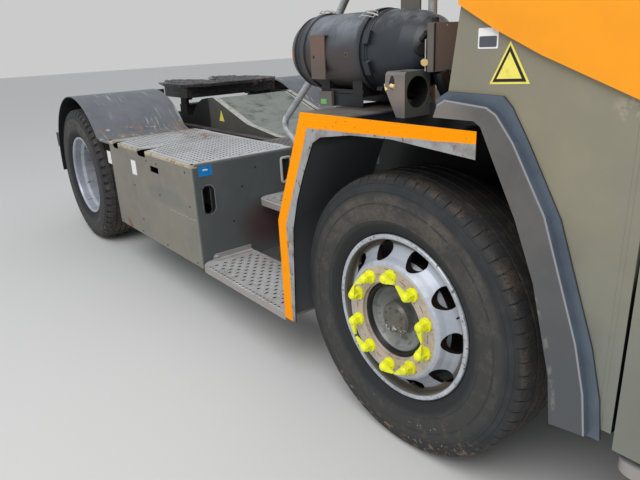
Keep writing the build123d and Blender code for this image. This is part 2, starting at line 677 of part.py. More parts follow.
STEPS = (
    # rear x, front x, inner y, outer y, top z, radius of the outer rear corner
    (BOX_FRONT_X, FENDER_REAR_X, SIDE_Y - 325.0, SIDE_Y, 335.0, 75.0),
    (BOX_FRONT_X, FENDER_REAR_X, SIDE_Y - 610.0, SIDE_Y - 378.0, 620.0, 75.0),
    (AXLE_F + 775.0, BUMPER_REAR_X, SIDE_Y - 290.0, PANEL_Y, 437.0, 45.0),
)
STEP_DEEP = 32.0
STEP_SHEET = 4.0


def corner_block(x0, x1, y0, y1, z0, z1, radius):
    """Block whose upright edge at the corner (x0, y1) is rounded."""
    body = block(x0, x1, y0, y1, z0, z1)
    upright = body.edges().filter_by(Axis.Z).sort_by_distance((x0, y1, (z0 + z1) / 2))[0]
    return fillet(upright, radius)


def access_steps():
    """Rimmed tread plates: two behind each front wheel and one under each door."""
    treads = []
    for side in SIDES:
        for x0, x1, y0, y1, top, radius in STEPS:
            tread = corner_block(x0, x1, y0 * side, y1 * side, top - STEP_DEEP, top, radius)
            tread -= corner_block(x0 + STEP_SHEET, x1 - STEP_SHEET, (y0 + STEP_SHEET) * side,
                                  (y1 - STEP_SHEET) * side, top - STEP_DEEP - 1, top - STEP_SHEET,
                                  radius - STEP_SHEET)
            treads.append(tread)
    return treads


def deck_plates():
    """Tray over the engine between the fenders, and the lower walkway behind it."""
    tray = block(FENDER_REAR_X, AXLE_F + 240, -TRAY_Y, TRAY_Y, CATWALK_TOP, DECK_TOP)
    tray += block(FENDER_REAR_X, AXLE_F + 240, -FENDER_IN_Y, FENDER_IN_Y, DECK_TOP - SHEET, DECK_TOP)
    tray -= block(FENDER_REAR_X + SHEET, AXLE_F + 241, -TRAY_Y + SHEET, TRAY_Y - SHEET,
                  CATWALK_TOP - 1, DECK_TOP - SHEET)
    rear = BOOM_PIVOT_X + BOOM_BOSS_R + 30
    half = BOX_IN_Y - 30
    walkway = block(rear, FENDER_REAR_X, -half, half, RAIL_TOP, CATWALK_TOP)
    walkway -= block(rear + 6, FENDER_REAR_X - 6, -half + 6, half - 6, RAIL_TOP - 1, CATWALK_TOP - 6)
    return tray, walkway


HAND_TUBE_R = 16.0
HAND_TUBE_Y = SIDE_Y - 450.0


def handrails():
    """Bent grab tubes behind the cab, from the fender wall up and down to the deck."""
    tubes = []
    for side in SIDES:
        y = HAND_TUBE_Y * side
        route = [
            (FENDER_REAR_X - 8, y, 694.0), (AXLE_F - 1054, y, 946.0), (AXLE_F - 1170, y, 1030.0),
            (AXLE_F - 929, y, 1238.0), (AXLE_F - 300, y, 2010.0), (AXLE_F - 190, y, 1960.0),
            (AXLE_F - 190, y, DECK_TOP),
        ]
        tubes.append(bent_tube(route, HAND_TUBE_R, 42.0))
    return tubes


CLEANER_Y = -(SIDE_Y - 285.0)
CLEANER_Z = 1377.0
CLEANER_R = 134.0
CLEANER_REAR_X = AXLE_F - 668.0
CLEANER_FRONT_X = AXLE_F + 20.0
CLEANER_NECK_R = 45.0
SHEET_BOX_X = AXLE_F + 52.0
SHEET_BOX_WALL = 26.0
CLAMP_XS = (AXLE_F - 572.0, AXLE_F - 262.0)
CLAMP_WIDE = 22.0
CLAMP_PROUD = 7.0


def air_cleaner():
    """Big round air cleaner lying along the vehicle: blunt rear cap, two clamp rings and a dome."""
    x0, x1, r = CLEANER_REAR_X, CLEANER_FRONT_X, CLEANER_R
    ring = r + CLAMP_PROUD
    outline = [(0.0, x0), (92.0, x0), (116.0, x0 + 12), (128.0, x0 + 44), (r, x0 + 74)]
    for x in CLAMP_XS:
        outline += [(r, x), (ring, x), (ring, x + CLAMP_WIDE), (r, x + CLAMP_WIDE)]
    outline += [(r - 3, x1 - 160), (r - 12, x1 - 100), (106.0, x1 - 52), (80.0, x1 - 16), (62.0, x1)]
    outline += [(CLEANER_NECK_R, x1), (CLEANER_NECK_R, SHEET_BOX_X - SEAT_GAP), (0.0, SHEET_BOX_X - SEAT_GAP)]
    face = make_face(Polyline(*[(x, ry, 0) for ry, x in outline], close=True))
    body = Pos(0, CLEANER_Y, CLEANER_Z) * revolve(face, axis=Axis.X)
    for turn in (20.0, -20.0, -65.0):
        pad = Pos(0, -(r + 2), 0) * Box(26.0, 22.0, 44.0)
        body += Pos(CLAMP_XS[1] + 56.0, CLEANER_Y, CLEANER_Z) * (Rot(-turn, 0, 0) * pad)
    return body


POST_TOP = 1700.0
POST_X = (AXLE_F - 379.0, AXLE_F - 283.0)
SHELF_Z = 1228.0
SHELF_X = (AXLE_F - 505.0, AXLE_F - 275.0)
OUTER_PLATE_X = (AXLE_F - 507.0, AXLE_F - 425.0)
OUTER_PLATE_Z = (1288.0, 1441.0)


def cleaner_cradle():
    """Cradle of the air cleaner on the fender deck, the plate on its outer side, and the flat post."""
    x0, x1 = SHELF_X
    axis = ((x0 - 1, CLEANER_Y, CLEANER_Z), (x1 + 200, CLEANER_Y, CLEANER_Z))
    cradle = block(x0, x1, CLEANER_Y - 96, CLEANER_Y + 110, SHELF_Z, SHELF_Z + 8)
    for near, far in ((x0, x0 + 50), (x1 - 50, x1)):
        cradle += block(near, far, CLEANER_Y - 96, CLEANER_Y + 110, SHELF_Z, CLEANER_Z - 90)
    cradle -= rod(*axis, CLEANER_R + SEAT_GAP)
    cradle += block(x0, x0 + 75, CLEANER_Y - 110, CLEANER_Y - 80, DECK_TOP, SHELF_Z + 14)
    cradle += block(x0, x1, CLEANER_Y + 80, CLEANER_Y + 110, DECK_TOP, SHELF_Z + 8)
    post_y = HAND_TUBE_Y - HAND_TUBE_R - 20
    post = block(*POST_X, -post_y, -post_y + 8, DECK_TOP, POST_TOP)
    post -= rod(((POST_X[0] + POST_X[1]) / 2, -post_y - 1, POST_TOP - 60),
                ((POST_X[0] + POST_X[1]) / 2, -post_y + 9, POST_TOP - 60), 9.0)
    tangent = CLEANER_Y - CLEANER_R - SEAT_GAP
    plate = block(*OUTER_PLATE_X, tangent - 5, tangent, *OUTER_PLATE_Z)
    plate += block(*OUTER_PLATE_X, tangent - 5, tangent + 17, OUTER_PLATE_Z[1] - 5, OUTER_PLATE_Z[1])
    plate -= rod((x0 - 10, CLEANER_Y, CLEANER_Z), (x1, CLEANER_Y, CLEANER_Z), CLEANER_R + SEAT_GAP)
    return [cradle, post, plate]


HOUSING_TOP = 1325.0
HOUSING_X = (AXLE_F - 46.0, AXLE_F + 34.0)
HOUSING_Y = (-(SIDE_Y - 78.0), -(SIDE_Y - 190.0))
HOUSING_TOE = 44.0
MOUTH_R = 47.0
MOUTH_DEEP = 62.0
PORT_R = 10.0


def round_housing():
    """Grey moulded housing that narrows to its foot, with a large round mouth and a small side port."""
    x0, x1 = HOUSING_X
    y0, y1 = HOUSING_Y
    outline = [(x1, DECK_TOP), (x1, HOUSING_TOP), (x0, HOUSING_TOP), (x0 - 4, HOUSING_TOP - 50),
               (x0 + HOUSING_TOE, DECK_TOP)]
    body = slab(outline, y0, y1)
    body = fillet(body.edges().filter_by(Axis.X).group_by(Axis.Z)[-1], 12)
    mouth_y = (y0 + y1) / 2
    mouth_z = HOUSING_TOP - 62.0
    body -= rod((x1 - MOUTH_DEEP, mouth_y, mouth_z), (x1 + 1, mouth_y, mouth_z), MOUTH_R)
    body -= rod((x0 + 24, y0 - 1, HOUSING_TOP - 34), (x0 + 24, y0 + 20, HOUSING_TOP - 34), PORT_R)
    return body


def sheet_box():
    """Flat folded sheet box in front of the air cleaner, on a post, with a round cap on top."""
    x0, x1 = SHEET_BOX_X, SHEET_BOX_X + SHEET_BOX_WALL
    y0, y1 = -(SIDE_Y - 153.0), -(SIDE_Y - 300.0)
    box = block(x0, x1, y0, y1, 1320, 1457)
    box += block(x0 + 6, x1 - 6, y0 + 55, y0 + 95, DECK_TOP, 1320)
    box += Pos((x0 + x1) / 2, y0 + 18, 1464) * Cylinder(11, 14)
    return box


EXHAUST = (AXLE_F - 60.0, SIDE_Y - 610.0)
SILENCER_TOP = 2050.0
EXHAUST_TOP = 2850.0


def exhaust_stack():
    """Upright exhaust behind the cab on the left, with its silencer."""
    x, y = EXHAUST
    can = rod((x, y, DECK_TOP), (x, y, SILENCER_TOP), 110.0)
    pipe = rod((x, y, SILENCER_TOP), (x, y, EXHAUST_TOP), 55.0)
    pipe -= rod((x, y, EXHAUST_TOP - 350), (x, y, EXHAUST_TOP + 1), 50.0)
    return can + pipe


def front_bumper():
    """Bumper beam with lamp pockets, on brackets from the rails."""
    outline = [(BUMPER_REAR_X, BUMPER_BOTTOM), (FRONT_X, BUMPER_BOTTOM + 20), (FRONT_X, BUMPER_TOP - 22),
               (FRONT_X - 20, BUMPER_TOP), (BUMPER_REAR_X, BUMPER_TOP)]
    bar = slab(outline, -SIDE_Y + 20, SIDE_Y - 20)
    for side in SIDES:
        bar -= block(FRONT_X - 30, FRONT_X + 1, LAMP_Y[0] * side, LAMP_Y[1] * side, *LAMP_Z)
        bar += block(RAIL_FRONT_X - 90, BUMPER_REAR_X, (RAIL_OUT_Y - 80) * side, RAIL_OUT_Y * side,
                     400, RAIL_BOTTOM)
        near, far = TILT_EAR_Y, TILT_EAR_Y + TILT_EAR
        bar += block(TILT_X - TILT_EAR_R, TILT_X + TILT_EAR_R, near * side, far * side, BUMPER_TOP,
                     TILT_Z)
        bar += rod((TILT_X, near * side, TILT_Z), (TILT_X, far * side, TILT_Z), TILT_EAR_R)
        pin_end = (far + EAR_GAP + TILT_EAR) * side
        bar += rod((TILT_X, near * side, TILT_Z), (TILT_X, pin_end, TILT_Z), TILT_PIN_R)
    return bar


def lamps():
    """Headlamps in the bumper and tail lamps on the rear beam."""
    pieces = []
    for side in SIDES:
        pieces.append(block(FRONT_X - 30, FRONT_X - 4, (LAMP_Y[0] + 6) * side, (LAMP_Y[1] - 6) * side,
                            LAMP_Z[0] + 6, LAMP_Z[1] - 6))
        pieces.append(block(REAR_X, REAR_X + 30, TAIL_LAMP_Y[0] * side, TAIL_LAMP_Y[1] * side,
                            BEAM_Z[0] + 5, BEAM_Z[1] - 5))
    return pieces


SEAM = (
    # x from the front axle, z along the slanting seam between the two colours
    (270.0, 1492.0),
    (380.0, 1430.0),
    (506.0, 1371.0),
    (762.0, 1271.0),
    (1400.0, 1020.0),
)


def seam_z(x):
    """Height of the colour seam at one place along the cab."""
    for (xa, za), (xb, zb) in zip(SEAM, SEAM[1:]):
        if x <= AXLE_F + xb:
            return za + (zb - za) * (x - AXLE_F - xa) / (xb - xa)
    return SEAM[-1][1]


FLARE_EDGE = (
    # x from the front axle, z of the arch cut in the lower side panel
    (235.0, 1262.0), (400.0, 1255.0), (455.0, 1172.0), (545.0, 1002.0), (640.0, 707.0), (670.0, SIDE_BOTTOM),
)


def cab_lower_side(side):
    """Lower side panels: one cut to the wheel arch behind the door, one narrow strip before it."""
    seam = [(AXLE_F + x, z) for x, z in SEAM[:3]] + [(PILLAR_X, seam_z(PILLAR_X))]
    arch = [(AXLE_F + x, z) for x, z in FLARE_EDGE]
    outline = seam + [(PILLAR_X, SIDE_BOTTOM)] + arch[::-1]
    rear = slab(outline, PANEL_Y * side, (PANEL_Y - WALL) * side)
    x0, x1 = DOOR_FRONT_X + DOOR_GAP, CAB_FRONT_X - WALL
    front = slab([(x0, SIDE_BOTTOM), (x1, SIDE_BOTTOM), (x1, seam_z(x1)), (x0, seam_z(x0))],
                 PANEL_Y * side, (PANEL_Y - WALL) * side)
    return [rear, front]


DOOR_HINGES = (1180.0, 2300.0)


def cab_upper_side(side):
    """Upper side panel with its window and the frame round the door."""
    seam = [(AXLE_F + x, z) for x, z in SEAM[:3]] + [(PILLAR_X, seam_z(PILLAR_X))]
    x0 = DOOR_FRONT_X + DOOR_GAP
    x1 = CAB_FRONT_X - WALL
    outline = seam + [
        (PILLAR_X, DOOR_TOP + DOOR_GAP), (x0, DOOR_TOP + DOOR_GAP), (x0, seam_z(x0)), (x1, seam_z(x1)),
        (x1, SILL_Z), (front_x(ROOF_BOTTOM) - WALL, ROOF_BOTTOM), (CAB_REAR_X, ROOF_BOTTOM),
    ]
    panel = slab(outline, SKIN_Y * side, (PANEL_Y - WALL) * side)
    panel -= block(CAB_REAR_X + WINDOW_EDGE, PILLAR_X - WINDOW_EDGE, (SKIN_Y + 1) * side,
                   (PANEL_Y - WALL - 1) * side, *SIDE_WINDOW)
    hinge_x = DOOR_FRONT_X + DOOR_GAP / 2
    y = SKIN_Y * side
    for z in DOOR_HINGES:
        panel -= rod((hinge_x, y, z - 42), (hinge_x, y, z + 42), DOOR_HINGE_R + 2.0)
        panel += rod((hinge_x, y, z - 60), (hinge_x, y, z + 60), DOOR_PIN_R)
        for low, high in ((z - 60, z - 42), (z + 42, z + 60)):
            panel += rod((hinge_x, y, low), (hinge_x, y, high), DOOR_HINGE_R)
            panel += block(hinge_x, x0 + 12, y - 6 * side, y + 4 * side, low, high)
    return panel


def front_x(z):
    """Front face of the cab at one height: upright below the windscreen, raked above."""
    if z <= SILL_Z:
        return CAB_FRONT_X
    return CAB_FRONT_X - CAB_RAKE * (z - SILL_Z) / (ROOF_TOP - SILL_Z)


def raked(z0, z1, back0, back1, half):
    """A wall piece that follows the cab's front face between two heights."""
    levels = [z0] + [SILL_Z] * (z0 < SILL_Z < z1) + [z1]
    outer = [(front_x(z) - back0, z) for z in levels]
    inner = [(front_x(z) - back1, z) for z in reversed(levels)]
    return slab(outer + inner, -half, half)


GRILLE_ROWS = (640.0, 710.0, 780.0, 850.0, 920.0)
GRILLE_TALL = 44.0
GRILLE_HALF = 620.0
GRILLE_DEEP = 18.0


def cab_end_walls():
    """Front wall with its windscreen frame, and rear wall with its window."""
    front = raked(SIDE_BOTTOM, ROOF_BOTTOM, 0, WALL, PANEL_Y)
    front -= raked(SILL_Z, HEADER_Z, -5, WALL + 5, PANEL_Y - WINDOW_EDGE)
    for z in GRILLE_ROWS:
        front -= block(CAB_FRONT_X - GRILLE_DEEP, CAB_FRONT_X + 1, -GRILLE_HALF, GRILLE_HALF, z,
                       z + GRILLE_TALL)
    for side in SIDES:
        near = TILT_EAR_Y + TILT_EAR + EAR_GAP
        far = near + TILT_EAR
        front += block(TILT_X - TILT_EAR_R, TILT_X + TILT_EAR_R, near * side, far * side, TILT_Z,
                       SIDE_BOTTOM)
        front += rod((TILT_X, near * side, TILT_Z), (TILT_X, far * side, TILT_Z), TILT_EAR_R)
        front -= rod((TILT_X, (near - 1) * side, TILT_Z), (TILT_X, (far + 1) * side, TILT_Z),
                     TILT_PIN_R + PIN_GAP)
    rear = block(CAB_REAR_X, CAB_REAR_X + WALL, -PANEL_Y + WALL, PANEL_Y - WALL, FLOOR_TOP, ROOF_BOTTOM)
    rear -= block(CAB_REAR_X - 1, CAB_REAR_X + WALL + 1, -REAR_WINDOW_Y, REAR_WINDOW_Y, *REAR_WINDOW)
    return front, rear


def cab_glass():
    """Windscreen, rear window and the two fixed side windows."""
    panes = [raked(SILL_Z, HEADER_Z, 14, 14 + GLASS, PANEL_Y - WINDOW_EDGE)]
    panes.append(block(CAB_REAR_X + 16, CAB_REAR_X + 16 + GLASS, -REAR_WINDOW_Y, REAR_WINDOW_Y, *REAR_WINDOW))
    for side in SIDES:
        y = (SKIN_Y - 16) * side
        panes.append(block(CAB_REAR_X + WINDOW_EDGE, PILLAR_X - WINDOW_EDGE, y, y - GLASS * side, *SIDE_WINDOW))
    return panes


def cab_floor():
    """Folded floor: high over the wheels, low in the two footwells, with a tunnel between."""
    half = PANEL_Y - WALL
    riser = AXLE_F + 742.0
    front = CAB_FRONT_X - WALL
    floor = block(CAB_REAR_X, riser, -half, half, FLOOR_TOP - WALL, FLOOR_TOP)
    floor += block(riser - WALL, riser, -half, half, TUNNEL_TOP, FLOOR_TOP)
    floor += block(riser, front, -TUNNEL_Y, TUNNEL_Y, TUNNEL_TOP - WALL, TUNNEL_TOP)
    floor += block(riser - WALL, riser, -TUNNEL_Y, TUNNEL_Y, TUNNEL_TOP - WALL, TUNNEL_TOP)
    for side in SIDES:
        floor += block(riser - WALL, riser, TUNNEL_Y * side, half * side, WELL_TOP - WALL, FLOOR_TOP)
        floor += block(riser, front, TUNNEL_Y * side, half * side, WELL_TOP - WALL, WELL_TOP)
        floor += block(riser - WALL, front, TUNNEL_Y * side, (TUNNEL_Y + 20) * side, WELL_TOP, TUNNEL_TOP)
    return floor


def cab_roof():
    """Roof panel with rounded edges."""
    x1 = front_x(ROOF_BOTTOM)
    roof = block(CAB_REAR_X - 15, x1, -SKIN_Y, SKIN_Y, ROOF_BOTTOM, ROOF_TOP)
    roof = fillet(roof.edges().filter_by(Axis.X).group_by(Axis.Z)[-1], 45)
    return roof


def door(side):
    """Cab door with a window opening, thicker above the colour seam."""
    x0, x1 = PILLAR_X + DOOR_GAP, DOOR_FRONT_X
    inner = (PANEL_Y - WALL) * side
    lower = slab([(x0, DOOR_BOTTOM), (x1, DOOR_BOTTOM), (x1, DOOR_TOP), (x0, DOOR_TOP)],
                 PANEL_Y * side, inner)
    skin = slab([(x0, seam_z(x0)), (x1, seam_z(x1)), (x1, DOOR_TOP), (x0, DOOR_TOP)],
                SKIN_Y * side, PANEL_Y * side)
    panel = lower + skin
    panel -= block(x0 + 70, x1 - 70, (SKIN_Y + 1) * side, inner - side, *DOOR_WINDOW)
    hinge_x = DOOR_FRONT_X + DOOR_GAP / 2
    y = SKIN_Y * side
    for z in DOOR_HINGES:
        panel -= rod((hinge_x, y, z - 65), (hinge_x, y, z + 65), DOOR_HINGE_R + 2.0)
        panel += rod((hinge_x, y, z - 40), (hinge_x, y, z + 40), DOOR_HINGE_R)
        panel += block(x1 - 12, hinge_x, y - 6 * side, y + 4 * side, z - 40, z + 40)
        panel -= rod((hinge_x, y, z - 41), (hinge_x, y, z + 41), DOOR_PIN_R + PIN_GAP)
    return panel


def door_glass(side):
    """Door window pane."""
    x0, x1 = PILLAR_X + DOOR_GAP, DOOR_FRONT_X
    y = (SKIN_Y - 16) * side
    return block(x0 + 70, x1 - 70, y, y - GLASS * side, *DOOR_WINDOW)


FLARE = (
    # x from the front axle, z of the outer edge, then x, z of the raised ridge
    (200.0, 1258.0, 226.0, 1250.0),
    (243.0, 1282.0, 250.0, 1263.0),
    (411.0, 1277.0, 380.0, 1252.0),
    (437.0, 1252.0, 410.0, 1236.0),
    (488.0, 1172.0, 462.0, 1173.0),
    (586.0, 1002.0, 560.0, 1010.0),
    (695.0, 707.0, 668.0, 716.0),
    (728.0, 579.0, 700.0, 590.0),
    (742.0, 471.0, 714.0, 480.0),
)
FLARE_INNER = (
    # x from the front axle, z of the inner edge, from the bottom up
    (621.0, 465.0), (606.0, 600.0), (544.0, 834.0), (481.0, 985.0),
    (399.0, 1139.0), (366.0, 1202.0), (345.0, 1215.0), (212.0, 1215.0),
)


def wheel_flare(side):
    """Black wheel-arch flare: a bevelled rim that stands proud of the panel."""
    edge = [(AXLE_F + row[0], row[1]) for row in FLARE]
    ridge = [(AXLE_F + row[2], row[3]) for row in FLARE]
    inner = [(AXLE_F + x, z) for x, z in FLARE_INNER]
    base = slab(edge + inner, PANEL_Y * side, (PANEL_Y + 8) * side)
    raised = slab(ridge + inner, (PANEL_Y + 8) * side, SIDE_Y * side)
    return base + raised


SEAT_Y = 380.0
COLUMN_R = 12.0
WHEEL_CENTRE = (AXLE_F + 1000.0, SEAT_Y, 1640.0)
WHEEL_LEAN = 30.0


def seat():
    """Driver's seat: plinth, cushion and backrest."""
    x, y = AXLE_F + 440.0, SEAT_Y
    plinth = block(x - 60, x + 270, y - 180, y + 180, FLOOR_TOP, 1340)
    cushion = block(x - 60, x + 400, y - 250, y + 250, 1340, 1480)
    back = slab([(x - 60, 1440), (x + 60, 1440), (x - 10, 2120), (x - 90, 2120)], y - 240, y + 240)
    return plinth + cushion + back


def dashboard():
    """Dashboard across the front with the steering column."""
    x1 = CAB_FRONT_X - WALL
    half = SIDE_Y - 130
    dash = slab([(x1 - 300, 1180), (x1, 1180), (x1, 1400), (x1 - 220, 1400), (x1 - 300, 1330)], -half, half)
    cx, cy, cz = WHEEL_CENTRE
    lean = math.radians(WHEEL_LEAN)
    reach_in, reach_out = 48.0, 360.0
    for reach, radius in ((reach_in, 40.0), (20.0, COLUMN_R)):
        dash += rod((cx + reach * math.sin(lean), cy, cz - reach * math.cos(lean)),
                    (cx + reach_out * math.sin(lean), cy, cz - reach_out * math.cos(lean)), radius)
    return dash


def steering_wheel():
    """Steering wheel: rim, three spokes and a hub on the column's axis."""
    ring = Torus(210, 16)
    for turn in (90, 210, 330):
        ring += Rot(0, 0, turn) * Pos(105, 0, -8) * Box(210, 34, 12)
    ring += Pos(0, 0, -20) * Cylinder(45, 50)
    ring -= Pos(0, 0, -30) * Cylinder(COLUMN_R + PIN_GAP, 40)
    return ring


def mirrors():
    """Mirror heads on arms from the cab's front corners."""
    pieces = []
    x, y, low, high = FRONT_X - 27.0, SIDE_Y - 120.0, 2350.0, 2700.0
    for side in SIDES:
        arm = rod((x, y * side, low), (x, y * side, high), 12.0)
        arm += rod((x, y * side, high), (front_x(high) + 0.8, y * side, high), 12.0)
        head = block(x - 25, x + 25, (y - 90) * side, (y + 90) * side, low - 370, low + 10)
        pieces.append(arm + fillet(head.edges().filter_by(Axis.X), 30))
    return pieces


def roof_beacon():
    """Flashing beacon on the roof and two work lamps at its rear edge."""
    x = CAB_REAR_X + 250.0
    base = Pos(x, 0, ROOF_TOP + 15) * Cylinder(70, 30)
    dome = Pos(x, 0, ROOF_TOP + 80) * Cylinder(58, 100)
    pieces = [base + dome]
    for side in SIDES:
        pieces.append(block(CAB_REAR_X, CAB_REAR_X + 70, (SIDE_Y - 450) * side, (SIDE_Y - 330) * side,
                            ROOF_TOP, ROOF_TOP + 90))
    return pieces


BOOM_TOP = (
    # x from the rear axle, z of the top edge of the side plates, from the pivot back
    (1545.0, 775.0),
    (1510.0, 835.0),
    (1440.0, 835.0),
    (1080.0, 886.0),
    (620.0, 1045.0),
    (520.0, 1040.0),
)
BOOM_TAIL = (
    # the rounded rear shoulder and the low tail that carries the coupler
    (430.0, 1028.0),
    (340.0, 990.0),
    (220.0, 885.0),
    (-50.0, 880.0),
    (-50.0, 800.0),
    (160.0, 800.0),
    (750.0, 720.0),
    (1450.0, 700.0),
    (1510.0, 690.0),
)
GUIDE_DROP = 9.0
CROSS_BOX_TOP = 966.0
PEDESTAL = (
    # x from the coupler's pin, z
    (-70.0, 835.0),
    (70.0, 835.0),
    (48.0, COUPLER_PIN_Z + 30.0),
    (-48.0, COUPLER_PIN_Z + 30.0),
)


def lift_boom():
    """Lifting frame: two flanged side plates, the sloping guide plate and the coupler's pedestal."""
    top = [(AXLE_R + x, z) for x, z in BOOM_TOP]
    outline = top + [(AXLE_R + x, z) for x, z in BOOM_TAIL]
    pivot = (BOOM_PIVOT_X, BOOM_PIVOT_Z)
    drop = [(x, z - GUIDE_DROP) for x, z in top[1:]]
    guide = slab(drop + [(x, z - GUIDE_WALL) for x, z in reversed(drop)], -BOOM_IN_Y, BOOM_IN_Y)
    boom = guide + block(COUPLER_X - 62, COUPLER_X + 62, -BOOM_IN_Y, BOOM_IN_Y, 832, CROSS_BOX_TOP)
    boom += rod((CYL_EYE[0], -BOOM_IN_Y, CYL_EYE[1]), (CYL_EYE[0], BOOM_IN_Y, CYL_EYE[1]), PIN_R)
    flange = top[1:] + [(x, z - BOOM_WALL) for x, z in reversed(top[1:])]
    for side in SIDES:
        boom += slab(outline, BOOM_OUT_Y * side, BOOM_IN_Y * side)
        boom += slab(flange, BOOM_OUT_Y * side, (BOOM_OUT_Y - BOOM_FLANGE) * side)
        boom += rod((pivot[0], BOOM_OUT_Y * side, pivot[1]), (pivot[0], (BOOM_IN_Y - 40) * side, pivot[1]),
                    BOOM_BOSS_R)
        boom -= rod((pivot[0], (BOOM_OUT_Y + 1) * side, pivot[1]),
                    (pivot[0], (BOOM_IN_Y - 41) * side, pivot[1]), BOOM_PIVOT_R + PIN_GAP)
        ear_in = PEDESTAL_OUT_Y - PEDESTAL_WALL
        boom += slab([(COUPLER_X + x, z) for x, z in PEDESTAL], PEDESTAL_OUT_Y * side, ear_in * side)
        boom += rod((COUPLER_X, PEDESTAL_OUT_Y * side, COUPLER_PIN_Z),
                    (COUPLER_X, (ear_in - RUN_GAP - LUG_WALL) * side, COUPLER_PIN_Z), COUPLER_PIN_R)
    return boom


def lift_cylinders():
    """Barrels and rods of the two lift cylinders, each with its eye."""
    (bx, bz), (ex, ez) = CYL_BASE, CYL_EYE
    long = math.hypot(ex - bx, ez - bz)
    ux, uz = (ex - bx) / long, (ez - bz) / long
    barrels, rods = [], []
    for side in SIDES:
        y = CYL_Y * side

        def at(distance):
            return (bx + ux * distance, y, bz + uz * distance)

        barrel = rod(at(20), at(long - 60), BARREL_R)
        barrel += rod((bx, y - 25, bz), (bx, y + 25, bz), 38.0)
        barrel -= rod((bx, y - 26, bz), (bx, y + 26, bz), PIN_R + PIN_GAP)
        barrel -= rod(at(50), at(long), ROD_R + PIN_GAP)
        piston = rod(at(55), at(long - 10), ROD_R)
        piston += rod((ex, y - 25, ez), (ex, y + 25, ez), 36.0)
        piston -= rod((ex, y - 26, ez), (ex, y + 26, ez), PIN_R + EYE_SLACK)
        barrels.append(barrel)
        rods.append(piston)
    return barrels, rods


def cylinder_anchor():
    """Cross tube between the rails that the lift cylinders stand on."""
    bx, bz = CYL_BASE
    tube = rod((bx, -350, bz), (bx, 350, bz), PIN_R)
    for side in SIDES:
        tube += block(bx - 30, bx + 30, 350 * side, 366 * side, bz - 35, RAIL_BOTTOM)
        tube += block(bx - 30, bx + 30, 350 * side, RAIL_OUT_Y * side, RAIL_BOTTOM - 12, RAIL_BOTTOM)
    return tube


def fifth_wheel():
    """Coupling plate with its throat and tail ramps, on two pivot lugs."""
    top = COUPLER_TOP
    front, tail = COUPLER_X + COUPLER_FRONT, COUPLER_X - COUPLER_TAIL
    half = COUPLER_HALF
    throat = THROAT_HALF
    end = COUPLER_X + 32
    points = [
        (front, -half + 190), (front, half - 190), (front - 70, half - 60), (front - 150, half),
        (COUPLER_X - 120, half), (tail, 330), (tail, 170), (COUPLER_X - 200, throat), (end, throat),
        (end, -throat), (COUPLER_X - 200, -throat), (tail, -170), (tail, -330), (COUPLER_X - 120, -half),
        (front - 150, -half), (front - 70, -half + 60),
    ]
    face = make_face(Polyline(*[(x, y, COUPLER_LOW) for x, y in points], close=True))
    plate = extrude(face, amount=COUPLER_PLATE, dir=(0, 0, 1))
    plate -= slab([(tail - 1, top + 1), (COUPLER_X - 260, top + 1), (tail - 1, top - 14)], -half, half)
    lug_out = PEDESTAL_OUT_Y - PEDESTAL_WALL - RUN_GAP
    for side in SIDES:
        lug = slab([(COUPLER_X - 85, COUPLER_LOW), (COUPLER_X + 85, COUPLER_LOW),
                    (COUPLER_X + 42, COUPLER_PIN_Z - 40), (COUPLER_X - 42, COUPLER_PIN_Z - 40)],
                   lug_out * side, (lug_out - LUG_WALL) * side)
        lug -= rod((COUPLER_X, (lug_out + 1) * side, COUPLER_PIN_Z),
                   (COUPLER_X, (lug_out - LUG_WALL - 1) * side, COUPLER_PIN_Z), COUPLER_PIN_R + PIN_GAP)
        plate += lug
        plate += block(COUPLER_X - 200, COUPLER_X + RIB_FRONT, 60 * side, 80 * side,
                       COUPLER_LOW - RIB_DEEP, COUPLER_LOW)
        plate += block(COUPLER_X - 170, COUPLER_X + RIB_FRONT, 400 * side, 420 * side,
                       COUPLER_LOW - RIB_DEEP, COUPLER_LOW)
    plate += block(COUPLER_X + RIB_FRONT - 14, COUPLER_X + RIB_FRONT, -420, 420,
                   COUPLER_LOW - RIB_DEEP, COUPLER_LOW)
    return plate


def coupler_jaws():
    """Hook-shaped lock under the plate that closes round the trailer's pin."""
    high = COUPLER_LOW
    jaws = block(COUPLER_X - 70, COUPLER_X + 60, -59.7, 59.7, high - 42, high)
    jaws -= Pos(COUPLER_X, 0, high - 21) * Cylinder(KING_R + KING_GAP, 60)
    jaws -= block(COUPLER_X - 71, COUPLER_X, -KING_R - KING_GAP, KING_R + KING_GAP, high - 60, high + 1)
    return jaws


